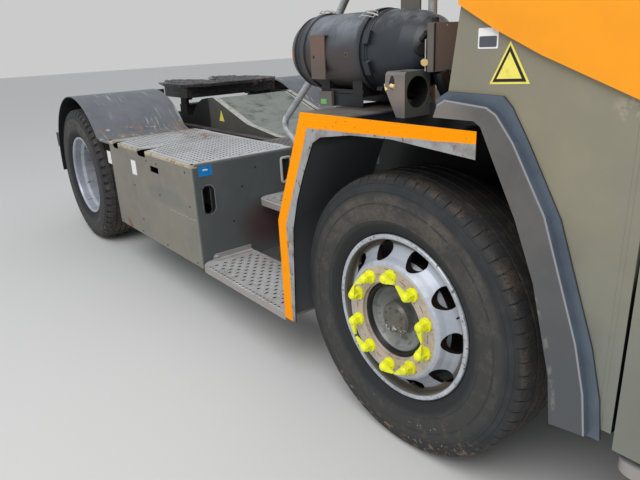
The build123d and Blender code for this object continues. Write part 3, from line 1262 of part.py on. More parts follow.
def build():
    os.makedirs("parts", exist_ok=True)
    save("frame_rails", *frame_rails())
    save("frame_crossmembers", *frame_crossmembers(), cylinder_anchor())
    save("front_axle", front_axle())
    save("rear_axle", rear_axle())
    save("engine_and_shaft", engine_and_shaft())
    save("tie_rod", tie_rod())
    for side, word in ((-1, "right"), (1, "left")):
        save(f"knuckle_{word}", knuckle(side))
        save(f"front_wheel_{word}", front_wheel(side))
        save(f"front_tyre_{word}", tyre(AXLE_F, FRONT_WHEEL_Y * side))
        save(f"nut_indicators_{word}", *nut_indicators(AXLE_F, FRONT_WHEEL_Y * side, side))
        save(f"rear_wheels_{word}", rear_wheels(side))
        save(f"rear_tyres_{word}", tyre(AXLE_R, DUAL_OUTER_Y * side),
             tyre(AXLE_R, (DUAL_OUTER_Y - DUAL_SPACING) * side))
        save(f"door_{word}", door(side))
        save(f"door_glass_{word}", door_glass(side))
    save("front_fenders", *[front_fender(side) for side in SIDES])
    save("rear_guards", *[rear_guard(side) for side in SIDES])
    save("locker_box", locker_box())
    save("locker_cover", locker_cover())
    save("fuel_tank", fuel_tank())
    save("access_steps", *access_steps())
    save("deck_plates", *deck_plates())
    save("handrails", *handrails())
    save("air_cleaner", air_cleaner())
    save("cleaner_brackets", *cleaner_cradle(), sheet_box())
    save("round_housing", round_housing())
    save("exhaust_stack", exhaust_stack())
    save("front_bumper", front_bumper())
    save("lamps", *lamps())
    save("lift_boom", lift_boom())
    barrels, rods = lift_cylinders()
    save("cylinder_barrels", *barrels)
    save("cylinder_rods", *rods)
    save("fifth_wheel", fifth_wheel())
    save("coupler_jaws", coupler_jaws())
    save("cab_lower_sides", *[panel for side in SIDES for panel in cab_lower_side(side)])
    save("cab_upper_sides", *[cab_upper_side(side) for side in SIDES])
    save("cab_end_walls", *cab_end_walls())
    save("cab_glass", *cab_glass())
    save("cab_floor", cab_floor())
    save("cab_roof", cab_roof())
    save("wheel_flares", *[wheel_flare(side) for side in SIDES])
    save("seat", seat())
    save("dashboard", dashboard())
    save("steering_wheel", Pos(*WHEEL_CENTRE) * Rot(0, -WHEEL_LEAN, 0) * steering_wheel())
    save("mirrors", *mirrors())
    save("roof_beacon", *roof_beacon())


build()
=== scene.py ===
# %% [markdown]
# Terminal tractor, dressed for the camera
#
# The solid model comes from CAD as a set of named parts in metres: X forward, Y to the left, Z up.
# This lesson keeps those parts where they are, gives each one its real finish, and adds the small
# things that are too fine for the solid model, such as tread, perforations, bolts and tape.

# %% Load the frame
import bpy
import bmesh
import json
import random
from math import copysign, cos, exp, hypot, radians, sin, tau
from mathutils import Matrix, Vector


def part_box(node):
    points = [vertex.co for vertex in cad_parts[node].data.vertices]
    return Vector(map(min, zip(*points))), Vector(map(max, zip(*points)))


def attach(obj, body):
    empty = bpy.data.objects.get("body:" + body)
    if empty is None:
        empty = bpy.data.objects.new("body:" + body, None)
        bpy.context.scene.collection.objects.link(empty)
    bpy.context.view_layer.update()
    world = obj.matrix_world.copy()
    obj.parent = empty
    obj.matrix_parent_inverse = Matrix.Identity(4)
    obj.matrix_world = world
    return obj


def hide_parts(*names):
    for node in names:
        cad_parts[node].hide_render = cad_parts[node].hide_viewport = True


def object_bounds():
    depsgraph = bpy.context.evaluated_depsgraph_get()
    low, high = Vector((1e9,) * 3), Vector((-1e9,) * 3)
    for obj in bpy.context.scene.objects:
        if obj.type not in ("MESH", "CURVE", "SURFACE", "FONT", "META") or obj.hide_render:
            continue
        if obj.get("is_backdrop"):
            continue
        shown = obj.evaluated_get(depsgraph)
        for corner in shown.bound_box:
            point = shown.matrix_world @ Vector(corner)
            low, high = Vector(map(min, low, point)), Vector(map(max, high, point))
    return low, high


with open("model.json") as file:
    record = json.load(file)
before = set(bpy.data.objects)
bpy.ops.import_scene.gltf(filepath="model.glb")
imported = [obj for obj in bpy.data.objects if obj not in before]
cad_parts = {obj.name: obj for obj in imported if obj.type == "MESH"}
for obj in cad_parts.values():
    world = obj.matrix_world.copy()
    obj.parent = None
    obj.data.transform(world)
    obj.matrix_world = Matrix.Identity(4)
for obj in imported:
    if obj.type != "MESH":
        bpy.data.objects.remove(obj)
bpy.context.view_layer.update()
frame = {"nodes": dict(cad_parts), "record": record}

# %% [markdown]
# The camera
#
# The photograph was taken by someone who stood close to the right front wheel and looked back and
# down along the vehicle. Its place was worked out from both round rims and the straight edges.
# Three angles and a point say it all: a turn to the left, a tilt down and a small roll.

# %% Camera at the photographer's eye
EYE = Vector((2.5922, -2.4339, 1.4256))
TURN, TILT, ROLL = 0.9201, 0.3399, -0.0484
level = Vector((cos(TURN), sin(TURN), 0))
look = Vector((-sin(TURN) * cos(TILT), cos(TURN) * cos(TILT), -sin(TILT)))
above = level.cross(look)
right = cos(ROLL) * level + sin(ROLL) * above
up = cos(ROLL) * above - sin(ROLL) * level
eye = bpy.data.cameras.new("eye")
eye.lens, eye.sensor_width = 31.86, 36.0
eye.clip_start, eye.clip_end = 0.05, 100.0
camera = bpy.data.objects.new("eye", eye)
camera.matrix_world = Matrix((
    (right.x, up.x, -look.x, EYE.x),
    (right.y, up.y, -look.y, EYE.y),
    (right.z, up.z, -look.z, EYE.z),
    (0, 0, 0, 1),
))
bpy.context.scene.collection.objects.link(camera)
bpy.context.scene.camera = camera
print("camera", [round(v, 3) for v in camera.location])

# %% [markdown]
# Floor and light
#
# A pale floor and an even pale sky stand in for a studio. The sky alone lights a surface about as
# bright as its colour is written. One large lamp high on the right adds a soft shadow under the
# vehicle, so that it stands on the floor instead of floating.

# %% Floor, sky and lamp
bpy.context.scene.view_settings.view_transform = "Standard"


def srgb(red, green, blue, alpha=1.0):
    """A colour as a paint program names it, from 0 to 255, made linear for Blender."""
    parts = []
    for value in (red, green, blue):
        c = value / 255
        parts.append(c / 12.92 if c <= 0.04045 else ((c + 0.055) / 1.055) ** 2.4)
    return (*parts, alpha)


def new_object(name, mesh):
    """An object for a mesh whose points are already in place."""
    piece = bpy.data.objects.new(name, mesh)
    bpy.context.scene.collection.objects.link(piece)
    return piece


FLOOR_HALF = 40
floor_mesh = bpy.data.meshes.new("floor")
floor_mesh.from_pydata([(x * FLOOR_HALF, y * FLOOR_HALF, 0) for x, y in ((-1, -1), (1, -1), (1, 1), (-1, 1))],
                       [], [(0, 1, 2, 3)])
floor = new_object("floor", floor_mesh)
floor_paint = bpy.data.materials.new("pale_floor")
floor_paint.use_nodes = True
floor_shader = floor_paint.node_tree.nodes["Principled BSDF"]
floor_shader.inputs["Base Color"].default_value = srgb(205, 205, 203)
floor_shader.inputs["Roughness"].default_value = 0.9
floor_mesh.materials.append(floor_paint)
floor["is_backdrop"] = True

sky = bpy.data.worlds.new("studio_sky")
bpy.context.scene.world = sky
sky.use_nodes = True
nodes, join = sky.node_tree.nodes, sky.node_tree.links.new
daylight, backdrop = nodes["Background"], nodes.new("ShaderNodeBackground")
daylight.inputs["Color"].default_value = srgb(240, 243, 247)
daylight.inputs["Strength"].default_value = 0.75
backdrop.inputs["Color"].default_value = srgb(202, 203, 202)
seen, either = nodes.new("ShaderNodeLightPath"), nodes.new("ShaderNodeMixShader")
join(seen.outputs["Is Camera Ray"], either.inputs["Fac"])
join(daylight.outputs["Background"], either.inputs[1])
join(backdrop.outputs["Background"], either.inputs[2])
join(either.outputs["Shader"], nodes["World Output"].inputs["Surface"])

lamp_data = bpy.data.lights.new("soft_lamp", "AREA")
lamp_data.shape, lamp_data.size, lamp_data.energy = "DISK", 6.0, 420.0
lamp = bpy.data.objects.new("soft_lamp", lamp_data)
lamp.location = (3.0, -5.0, 7.0)
lamp.rotation_mode = "QUATERNION"
lamp.rotation_quaternion = (Vector((0, 0, 0.6)) - lamp.location).to_track_quat("-Z", "Y")
bpy.context.scene.collection.objects.link(lamp)
print("floor, sky and one lamp")

# %% [markdown]
# A short way to write materials
#
# Every finish here is a small graph of nodes: some noise for dirt, a colour ramp, a bump. The
# helper below keeps one material and adds nodes to it, so that a finish reads as a few plain lines.

# %% Material helper


FINISH = {}


class Finish:
    """One material, built up node by node on Object coordinates."""

    def __init__(self, name, rgb, roughness=0.6, metallic=0.0, **fixed):
        self.material = bpy.data.materials.new(name)
        self.material.use_nodes = True
        self.tree = self.material.node_tree
        self.shader = self.tree.nodes["Principled BSDF"]
        self.colour = srgb(*rgb)
        fixed.update(Base_Color=self.colour, Roughness=roughness, Metallic=metallic)
        for socket, value in fixed.items():
            self.shader.inputs[socket.replace("_", " ")].default_value = value
        self.source = self.tree.nodes.new("ShaderNodeTexCoord")
        self.place = self.source.outputs["Object"]
        FINISH[name] = self.material

    def put(self, socket, value):
        """Link an output, or set a plain value."""
        if isinstance(value, bpy.types.NodeSocket):
            self.tree.links.new(value, socket)
        else:
            socket.default_value = value

    def node(self, kind, output, inputs, **settings):
        """Add a node, fill its inputs and give one output."""
        node = self.tree.nodes.new("ShaderNode" + kind)
        for setting, value in settings.items():
            setattr(node, setting, value)
        for socket, value in inputs.items():
            self.put(node.inputs[socket], value)
        return node.outputs[output]

    def noise(self, scale, detail=4.0, rough=0.6, stretch=(1, 1, 1), centre=(0, 0, 0)):
        """Soft random spots, stretched along the axes."""
        place = self.node("Mapping", "Vector", {"Vector": self.place, "Scale": stretch, "Location": centre})
        return self.node("TexNoise", "Fac",
                         {"Vector": place, "Scale": scale, "Detail": detail, "Roughness": rough})

    def step(self, value, low, high):
        """0 below one value, 1 above the other, smooth between."""
        limits = {"Value": value, "From Min": low, "From Max": high}
        return self.node("MapRange", "Result", limits, interpolation_type="SMOOTHSTEP")

    def math(self, kind, a, b=0.0):
        """One sum on numbers."""
        return self.node("Math", "Value", {0: a, 1: b}, operation=kind)

    def times(self, *masks):
        """The product of masks and shares: 1 only where every mask is 1."""
        result = masks[0]
        for mask in masks[1:]:
            result = self.math("MULTIPLY", result, mask)
        return result

    def paint(self, rgb, *masks):
        """Lay a colour over what is there, where every mask is 1."""
        layers = {"Factor": self.times(*masks), "A": self.colour, "B": srgb(*rgb)}
        self.colour = self.node("Mix", "Result", layers, data_type="RGBA")
        self.put(self.shader.inputs["Base Color"], self.colour)

    def bump(self, height, strength=0.3, distance=0.002):
        """Small relief from a height."""
        relief = {"Height": height, "Strength": strength, "Distance": distance}
        self.put(self.shader.inputs["Normal"], self.node("Bump", "Normal", relief))


PLAIN = {
    # name: colour, colour of the dirt, roughness, metallic
    "dark_steel": ((62, 62, 64), (95, 84, 74), 0.55, 0.0),
    "orange_paint": ((250, 158, 8), (225, 140, 15), 0.35, 0.0),
    "tyre_rubber": ((54, 54, 57), (82, 78, 72), 0.85, 0.0),
    "black_plastic": ((66, 69, 73), (88, 86, 82), 0.5, 0.0),
    "indicator_yellow": ((238, 240, 40), (190, 180, 40), 0.35, 0.0),
    "bright_steel": ((190, 190, 192), (150, 146, 140), 0.3, 0.9),
    "seat_fabric": ((58, 60, 64), (70, 70, 72), 0.95, 0.0),
    "beacon_amber": ((250, 150, 20), (210, 120, 20), 0.25, 0.0),
    "tank_metal": ((170, 172, 175), (130, 126, 120), 0.4, 0.6),
    # painted shade for holes, slots and recesses; also the dark colour of small screws, plugs and the valve
    "hole_dark": ((34, 34, 36), (48, 46, 44), 0.9, 0.0),
}
for name, (rgb, dirt, roughness, metallic) in PLAIN.items():
    plain = Finish(name, rgb, roughness, metallic)
    plain.paint(dirt, plain.step(plain.noise(3.0), 0.45, 0.75), 0.5)
    plain.bump(plain.noise(240.0, 3.0), 0.12, 0.001)
glass = Finish("window_glass", (196, 208, 206), 0.04, 0.0, Transmission_Weight=0.85, IOR=1.45)
glass.paint((170, 172, 160), glass.step(glass.noise(2.5), 0.5, 0.8), 0.25)
print(len(FINISH), "plain finishes")

# %% [markdown]
# Worn finishes that know where they are
#
# A real vehicle isn't dirty all over. Dust settles on flat tops, brake dust sits on the wheel, tape runs along
# an edge. Each finish below measures the surface point: how far it is from an axle, from a painted edge or
# from a known spot. The measures become masks, and each mask lays one colour. Some masks lay painted shade in
# arches, holes and hollows, and a few lay painted highlights.

# %% Masks from place
AXLE_F, AXLE_R, AXLE_Z = 1.35, -2.0, 0.505
ARCH_REACH = 0.86


class Worn(Finish):
    """A finish with masks that depend on where the point is."""

    def axis(self, letter, vector=None):
        """One coordinate of the surface point, or of another vector."""
        return self.node("SeparateXYZ", letter, {"Vector": self.place if vector is None else vector})

    x = property(lambda self: self.axis("X"))
    y = property(lambda self: self.axis("Y"))
    z = property(lambda self: self.axis("Z"))
    out = property(lambda self: self.size(self.y), doc="Distance from the middle plane of the vehicle.")

    def facing(self, letter):
        """How much the surface looks along an axis."""
        return self.axis(letter, self.source.outputs["Normal"])

    def plus(self, a, b):
        return self.math("ADD", a, b)

    def minus(self, a, b):
        return self.math("SUBTRACT", a, b)

    def size(self, value):
        """A value without its sign."""
        return self.math("ABSOLUTE", value)

    def reach(self, a, b):
        """How far a point is that lies a one way and b the other way."""
        return self.math("SQRT", self.plus(self.times(a, a), self.times(b, b)))

    def above(self, value, limit, soft=0.001):
        return self.step(value, limit - soft, limit + soft)

    def below(self, value, limit, soft=0.001):
        return self.minus(1.0, self.above(value, limit, soft))

    def band(self, value, low, high, soft=0.001):
        return self.times(self.above(value, low, soft), self.below(value, high, soft))

    def polar(self, x, z):
        """Distance and angle about an axle that runs along Y."""
        dx, dz = self.minus(self.x, x), self.minus(self.z, z)
        return self.reach(dx, dz), self.math("ARCTAN2", dz, dx)

    def spot(self, centre, size, soft=0.3):
        """A soft patch round a point; size is its half length along each axis."""
        total = 0.0
        for letter, middle, half in zip("XYZ", centre, size):
            share = self.math("DIVIDE", self.minus(self.axis(letter), middle), half)
            total = self.plus(total, self.times(share, share))
        return self.below(total, 1.0, soft)

    def inside(self, corners):
        """Distance inwards from a run of straight edges, each a pair of (x, z) points."""
        nearest = 1000.0
        for (xa, za), (xb, zb) in zip(corners, corners[1:]):
            length = hypot(xb - xa, zb - za)
            nx, nz = -(zb - za) / length, (xb - xa) / length
            away = self.minus(self.plus(self.times(self.x, nx), self.times(self.z, nz)), xa * nx + za * nz)
            nearest = self.math("MINIMUM", nearest, away)
        return nearest

    def specks(self, scale, low, high, stretch=(1, 1, 1), centre=(0, 0, 0)):
        """Hard-edged random marks."""
        return self.step(self.noise(scale, 5.0, 0.65, stretch, centre), low, high)

    def fleck(self, rgb, scale, low, high, *masks, **place):
        """Paint random marks where every mask is 1."""
        self.paint(rgb, self.specks(scale, low, high, **place), *masks)

    def paint_arch_shade(self, limit):
        """Painted shade inside a front wheel arch: near black behind a given distance from the middle."""
        far, _ = self.polar(AXLE_F, AXLE_Z)
        self.paint((24, 24, 25), self.below(far, ARCH_REACH, 0.02), self.below(self.out, limit))

    def grain(self, strength=0.12, scale=240.0, distance=0.001):
        """Fine relief all over."""
        self.bump(self.noise(scale, 3.0), strength, distance)


print("mask helper ready")

# %% [markdown]
# Wheels
#
# Seen from outside, a steel truck wheel has rings of different wear. The rim lip is scraped bright, its inner
# wall is dusty, and the bolting face is beige with rust between the nuts. The gap round the hub and the hollow
# behind the cap are painted near black as shade, the walls of the hand holes are painted dark brown as shade,
# and the brake drum behind them is painted dark brown, partly its rust and partly the shade it sits in. Every
# ring is one band of distance from the axle, so the marks turn with the wheel.

# %% Wheel finishes
HUB, FACE, LIP_IN = 0.134, 0.197, 0.2835  # from the axle: edge of the hub, of the bolting face, of the rim lip
# Steered wheel: rings of wear and of painted shade by distance from the axle.
f = Worn("wheel_front", (170, 176, 186), 0.42, 0.25)
far, turn = f.polar(AXLE_F, AXLE_Z)
out = f.out
f.fleck((140, 140, 142), 9.0, 0.45, 0.7, 0.45)
f.fleck((186, 190, 198), 30, 0.35, 0.6, f.band(far, 0.196, 0.216, 0.003))
f.paint((116, 110, 98), f.band(far, 0.2595, 0.2845, 0.0015), f.band(out, 1.124, 1.166, 0.002))
f.fleck((205, 208, 212), 26, 0.3, 0.8, f.above(far, LIP_IN))
f.fleck((104, 92, 80), 85, 0.6, 0.63, f.above(far, LIP_IN))
face = f.times(f.band(far, HUB, FACE, 0.003), f.above(out, 1.185, 0.004))
f.paint((194, 180, 166), face)
f.fleck((170, 156, 142), 22, 0.45, 0.7, face)
f.fleck((70, 62, 58), 60, 0.62, 0.66, face, stretch=(1, 1, 3))
between = f.math("COSINE", f.times(f.minus(turn, radians(35)), 10.0))
dash = f.times(f.band(far, 0.1655, 0.1695), face, f.step(between, 0.45, 0.7), f.specks(110, 0.44, 0.5))
f.paint((140, 78, 40), dash)
seat = f.times(face, f.band(far, 0.146, 0.19, 0.002), f.step(f.times(between, -1.0), 0.35, 0.7))
f.paint((96, 70, 48), seat, 0.55)
# painted shade: the gap round the hub is near black
f.paint((14, 14, 15), f.band(far, 0.117, 0.1355))
bowl = f.band(far, 0.06, 0.117)
f.paint((104, 106, 104), bowl)
f.paint((138, 140, 138), bowl, f.below(f.z, 0.52, 0.06))
f.fleck((92, 93, 92), 30, 0.5, 0.7, bowl)
cap = f.below(far, 0.0605)
f.paint((100, 98, 90), cap)
f.fleck((84, 81, 74), 45, 0.45, 0.7, cap)
low = f.below(f.z, 0.478, 0.012)
f.fleck((232, 230, 226), 120, 0.55, 0.6, cap, low)
# painted shade: the walls of the hand holes, seen edge-on, are dark brown
hole_wall_shade = f.below(f.size(f.facing("Y")), 0.4, 0.08)
f.paint((32, 24, 21), hole_wall_shade, f.band(far, 0.204, 0.2585))
# the brake drum behind the disc: its rust with painted shade, dark brown
f.paint((40, 30, 25), f.below(far, 0.279), f.below(out, 1.1275))
# painted shade: the hollow behind the hub cap is near black
f.paint((30, 30, 32), f.below(far, 0.1155), f.below(out, 1.1))
f.grain(0.15, 160.0)

# Grey moulding; the bore behind its round mouth is painted near black as shade.
BORE_Y, BORE_Z = -1.116, 1.263
f = Worn("housing_plastic", (96, 97, 96), 0.55)
f.fleck((112, 108, 104), 12, 0.42, 0.66, 0.8)
side = f.times(f.below(f.facing("Y"), -0.6, 0.1), f.band(f.z, 1.22, 1.31, 0.03))
f.paint((142, 122, 112), side, 0.6)
f.paint((84, 91, 88), f.above(f.facing("X"), 0.7, 0.1), f.above(f.x, 1.375))
# painted shade: near black inside the bore
far = f.reach(f.minus(f.y, BORE_Y), f.minus(f.z, BORE_Z))
f.paint((16, 16, 17), f.below(far, 0.0478, 0.0003), f.below(f.x, 1.383, 0.0005))
f.grain(0.2, 200.0)

# Driven wheels: a deep dish with streaks of dirt and a dark hub; the inner wheel of each pair is painted near
# black as shade.
f = Worn("wheel_rear", (182, 187, 196), 0.4, 0.3)
far, _ = f.polar(AXLE_R, AXLE_Z)
out = f.out
f.fleck((128, 132, 142), 7.0, 0.4, 0.7, 0.55, stretch=(1, 0.3, 1))
f.fleck((96, 94, 92), 24, 0.58, 0.66, f.above(far, 0.25), stretch=(1, 0.25, 1))
f.fleck((110, 100, 90), 60, 0.6, 0.64, f.above(far, LIP_IN))
f.paint((120, 116, 108), f.below(far, 0.25, 0.006))
f.fleck((96, 84, 72), 18, 0.4, 0.7, f.band(far, HUB, FACE, 0.003))
f.paint((58, 56, 56), f.below(far, HUB))
f.fleck((92, 84, 74), 30, 0.5, 0.7, f.below(far, HUB))
# painted shade: the inner wheel of each pair, behind the outer one, is near black
f.paint((34, 30, 28), f.below(out, 0.905, 0.003))
f.grain(0.15, 160.0)


def rubber(name, x):
    """Worn tyre rubber: dusty rough band, smooth dark bands, brown tread."""
    f = Worn(name, (41, 42, 44), 0.82)
    far, turn = f.polar(x, AXLE_Z)
    f.fleck((54, 54, 55), 11, 0.35, 0.75)
    band = f.band(far, 0.352, 0.437, 0.012)
    f.paint((58, 58, 57), band, 0.75)
    f.fleck((74, 71, 67), 28, 0.5, 0.68, band)
    f.fleck((96, 88, 78), 9, 0.4, 0.6, band, f.above(f.z, 0.72, 0.15), 0.6)
    f.fleck((58, 56, 54), 140, 0.5, 0.56, band, 0.6)
    f.fleck((48, 47, 47), 20, 0.4, 0.5, f.band(far, 0.405, 0.412, 0.002))
    f.paint((34, 34, 36), f.below(far, 0.338, 0.008))
    tread = f.above(far, 0.488, 0.006)
    f.paint((60, 58, 57), tread, 0.6)
    f.fleck((86, 76, 66), 16, 0.45, 0.7, tread)
    f.fleck((36, 35, 35), 150, 0.55, 0.6, tread)
    low = f.times(f.below(f.z, 0.17, 0.06), f.above(far, 0.44, 0.01))
    f.fleck((122, 100, 80), 45, 0.54, 0.6, low, stretch=(1, 0.6, 1))
    scuff = f.times(f.band(far, 0.36, 0.4, 0.006), f.below(f.z, 0.22, 0.02), f.above(f.x, x + 0.06, 0.03))
    f.fleck((176, 172, 166), 60, 0.63, 0.66, scuff, stretch=(1, 1, 2))
    ribs = f.math("SINE", f.times(turn, 300.0))
    relief = f.plus(f.times(band, f.specks(3.0, 0.45, 0.55), ribs, 0.25), f.noise(130.0, 4.0))
    f.bump(relief, 0.35, 0.0015)




# Clear headlamp glass in front; red, amber and white lenses at the back.
f = Worn("lamp_lens", (225, 225, 222), 0.2)
f.fleck((190, 188, 182), 30, 0.5, 0.7, 0.5)
back = f.below(f.x, -1.0)
f.paint((40, 40, 42), back)
lens = f.times(back, f.below(f.x, -2.815), f.band(f.z, 0.652, 0.748))
for y0, y1, rgb in ((1.072, 1.164, (168, 16, 14)), (0.972, 1.066, (222, 110, 10)),
                    (0.866, 0.966, (225, 225, 222))):
    f.paint(rgb, lens, f.band(f.out, y0, y1))
f.grain(0.1, 400.0)

rubber("rubber_front", AXLE_F)
rubber("rubber_rear", AXLE_R)
print("wheel and tyre finishes")

# %% [markdown]
# Mudguards, tape and the locker
#
# The front mudguard carries a band of orange tape along the outer edge of its lip. The edge is three
# straight runs, so the distance to the nearest run says where tape ends and bare grey metal begins.
# Below the deck, inside its edge and behind the lip, the same sheet is painted near black as shade. The
# locker's side is beige, its front face is dark, its front corner carries a painted reflection of the sky, its
# inside is painted near black as shade, and the folded rim along the top is chipped.

# %% Sheet metal finishes
LIP = 1.2485  # the outer rim of the mudguards, from the middle plane
FLARE_EDGE = ((2.064, 0.48), (2.05, 0.59), (2.018, 0.716), (1.91, 1.01), (1.812, 1.173),
              (1.76, 1.236), (1.73, 1.252), (1.6, 1.263), (1.576, 1.25))
FENDER_EDGE = ((0.778, 0.3), (0.778, 0.753), (0.957, 1.187), (1.76, 1.2088))

f = Worn("fender_sheet", (104, 99, 93), 0.55)
out = f.out
depth = f.inside([FENDER_EDGE[k] for k in range(3, -1, -1)])
f.shader.inputs["Specular IOR Level"].default_value = 0.08
shade = f.times(f.above(f.y, -1.1, 0.02), f.below(f.y, -0.8), f.band(f.x, 0.86, 1.34, 0.06))
f.fleck((122, 113, 103), 5, 0.4, 0.65)
f.fleck((88, 86, 86), 17, 0.52, 0.66)
f.paint((58, 55, 54), shade, 0.75)
f.paint((98, 100, 102), f.below(f.z, 1.1, 0.05), f.below(depth, 0.004))
f.fleck((70, 110, 165), 30, 0.35, 0.6, f.spot((1.262, -1.15, 1.19), (0.075, 0.022, 0.02), 0.6))
f.paint((120, 72, 50), f.spot((1.346, -1.112, 1.19), (0.016, 0.012, 0.02), 0.5))
# painted shade: inside its edge and behind the lip the sheet is near black
f.paint((8, 9, 10), f.above(depth, 0.004), f.below(out, LIP))
lip = f.above(out, LIP)
f.paint((158, 158, 158), lip)
f.fleck((136, 132, 128), 13, 0.45, 0.62, lip)
f.fleck((112, 84, 66), 38, 0.6, 0.66, lip, stretch=(1, 1, 0.6))
edge = f.plus(depth, f.times(f.noise(6.0, 2.0), 0.01))
top = f.above(f.z, 0.95, 0.2)
width = f.plus(0.05, f.times(top, 0.006))
tape = f.times(lip, f.step(f.minus(edge, width), 0.0008, -0.0008))
f.paint((255, 152, 0), tape)
lines = f.math("SINE", f.times(depth, 620.0))
stripes = f.times(tape, f.step(lines, 0.5, 0.9), f.below(f.x, 1.25, 0.12), f.specks(8, 0.35, 0.6))
f.paint((255, 176, 0), stripes, 0.7)
f.fleck((120, 84, 30), 55, 0.655, 0.68, tape, stretch=(1, 1, 2))
f.grain(0.1)

f = Worn("guard_sheet", (94, 98, 104), 0.5)
f.fleck((108, 111, 116), 4, 0.35, 0.7)
f.paint((146, 148, 152), f.specks(3.0, 0.4, 0.55), f.specks(26, 0.575, 0.64, (0.13, 1.7, 0.13)))
f.paint((168, 168, 170), f.specks(3.5, 0.45, 0.6, (1, 1, 1), (3, 0, 0)),
        f.specks(34, 0.6, 0.64, (0.09, 1.5, 0.09)))
low = f.times(f.below(f.z, 0.9, 0.03), f.above(f.x, -1.6, 0.02))
f.fleck((136, 112, 92), 12, 0.5, 0.64, low, 0.8)
f.fleck((186, 180, 164), 22, 0.61, 0.66, low)
# painted shade: the guard round the rear tyres is near black
far, _ = f.polar(AXLE_R, AXLE_Z)
f.paint((24, 24, 26), f.below(far, 0.5995))
f.grain(0.12)

f = Worn("locker_sheet", (128, 124, 112), 0.6)
f.fleck((118, 115, 105), 2.6, 0.4, 0.7, stretch=(1, 1, 1.6))
f.fleck((136, 131, 118), 9, 0.5, 0.7, 0.6)
f.paint((104, 108, 108), f.spot((-0.4, -1.232, 0.63), (0.26, 0.05, 0.05), 0.5), 0.45)
front = f.times(f.step(f.facing("X"), 0.6, 0.8), f.above(f.x, -0.032))
f.paint((80, 85, 86), front)
f.fleck((88, 91, 91), 6, 0.45, 0.7, front)
up = f.math("MAXIMUM", f.minus(f.size(f.minus(f.z, 0.667)), 0.042), 0.0)
slot = f.reach(f.plus(f.y, 1.153), up)
f.paint((128, 134, 136), front, f.below(slot, 0.0385, 0.0008))
f.paint((14, 15, 16), front, f.below(slot, 0.0345, 0.0008))
f.paint((72, 34, 36), front, f.spot((-0.025, -0.72, 0.47), (0.1, 0.24, 0.14), 0.8), 0.75)
# painted reflection of the sky: a pale blue tint on the rounded front corner
corner = f.times(f.above(f.x, -0.036, 0.004), f.above(f.out, 1.221, 0.004), f.below(f.z, 0.845, 0.004))
f.paint((122, 128, 130), corner, 0.3)
top = f.above(f.z, 0.8515, 0.0015)
f.paint((150, 142, 126), top)
f.fleck((124, 118, 106), 20, 0.45, 0.6, top)
f.fleck((190, 160, 130), 46, 0.56, 0.62, top)
rim = f.times(f.above(f.out, 1.2, 0.003), f.band(f.z, 0.842, 0.862))
f.paint((178, 168, 148), rim)
f.fleck((150, 128, 104), 30, 0.5, 0.6, rim)
f.paint((98, 101, 100), f.above(f.x, -0.04), f.below(f.out, 1.215, 0.002), f.above(f.z, 0.848))
for x, z, size in ((-1.072, 0.324, 0.02), (-1.2, 0.308, 0.012), (-1.04, 0.312, 0.014),
                   (-1.095, 0.345, 0.012)):
    f.paint((128, 70, 52), f.spot((x, -1.232, z), (size, 0.05, size * 1.3), 0.5))
for k in range(7):
    x = -0.345 + 0.285 * k / 6
    f.paint((170, 164, 150), f.spot((x, -1.232, 0.564 + 0.002 * sin(k * 2.2)), (0.021, 0.05, 0.0018), 0.6))
# painted shade: the inside faces of the locker are near black
inner = f.times(f.band(f.out, 0.612, 1.2275), f.band(f.x, -1.245, -0.03), f.below(f.z, 0.846))
f.paint((22, 22, 23), inner)
f.grain(0.08)

f = Worn("cover_plate", (182, 184, 186), 0.45, 0.1)
f.fleck((164, 164, 163), 3.4, 0.4, 0.7)
f.fleck((200, 200, 200), 40, 0.55, 0.68)
rear = f.band(f.x, -1.26, -1.165, 0.01)
f.paint((160, 158, 148), rear)
f.fleck((140, 104, 84), 20, 0.48, 0.62, f.spot((-0.86, -0.74, 0.86), (0.16, 0.09, 0.05), 0.9))
f.fleck((176, 120, 72), 20, 0.45, 0.6, f.spot((-1.14, -0.72, 0.86), (0.1, 0.09, 0.05), 0.9))
f.grain(0.12)

f = Worn("step_plate", (186, 185, 184), 0.45, 0.2)
f.fleck((160, 157, 154), 6, 0.4, 0.7)
f.fleck((182, 182, 182), 60, 0.56, 0.66)
f.paint((158, 152, 148), f.below(f.facing("Z"), 0.5, 0.1))
f.grain(0.2, 90.0, 0.002)

f = Worn("deck_sheet", (98, 94, 90), 0.6, 0.1)
f.fleck((84, 81, 79), 4, 0.4, 0.7)
shade = f.times(f.below(f.size(f.plus(f.y, 0.93)), 0.16, 0.08), f.band(f.x, 0.78, 1.3, 0.08))
f.paint((54, 51, 50), shade, 0.7)
f.fleck((126, 118, 108), 22, 0.52, 0.66)
f.fleck((112, 84, 66), 9, 0.6, 0.66)
# painted shade: near black inside the front wheel arch
f.paint_arch_shade(1.18)
# painted shade: the deck sheet below its top, near the cab and outboard, is near black
f.paint((18, 18, 19), f.below(f.z, 1.185), f.above(f.x, 0.8, 0.01), f.above(f.out, 0.6, 0.01))
f.grain(0.15)

print("sheet metal finishes")

# %% [markdown]
# Cab, air cleaner and boom
#
# The cab is orange above and beige below. Its lower edge catches dust from the road. The air cleaner
# is black plastic with a warm brown fade round its middle. The boom's guide plate is polished by
# trailers, so it is paler than its side plates, with dark grease stains.

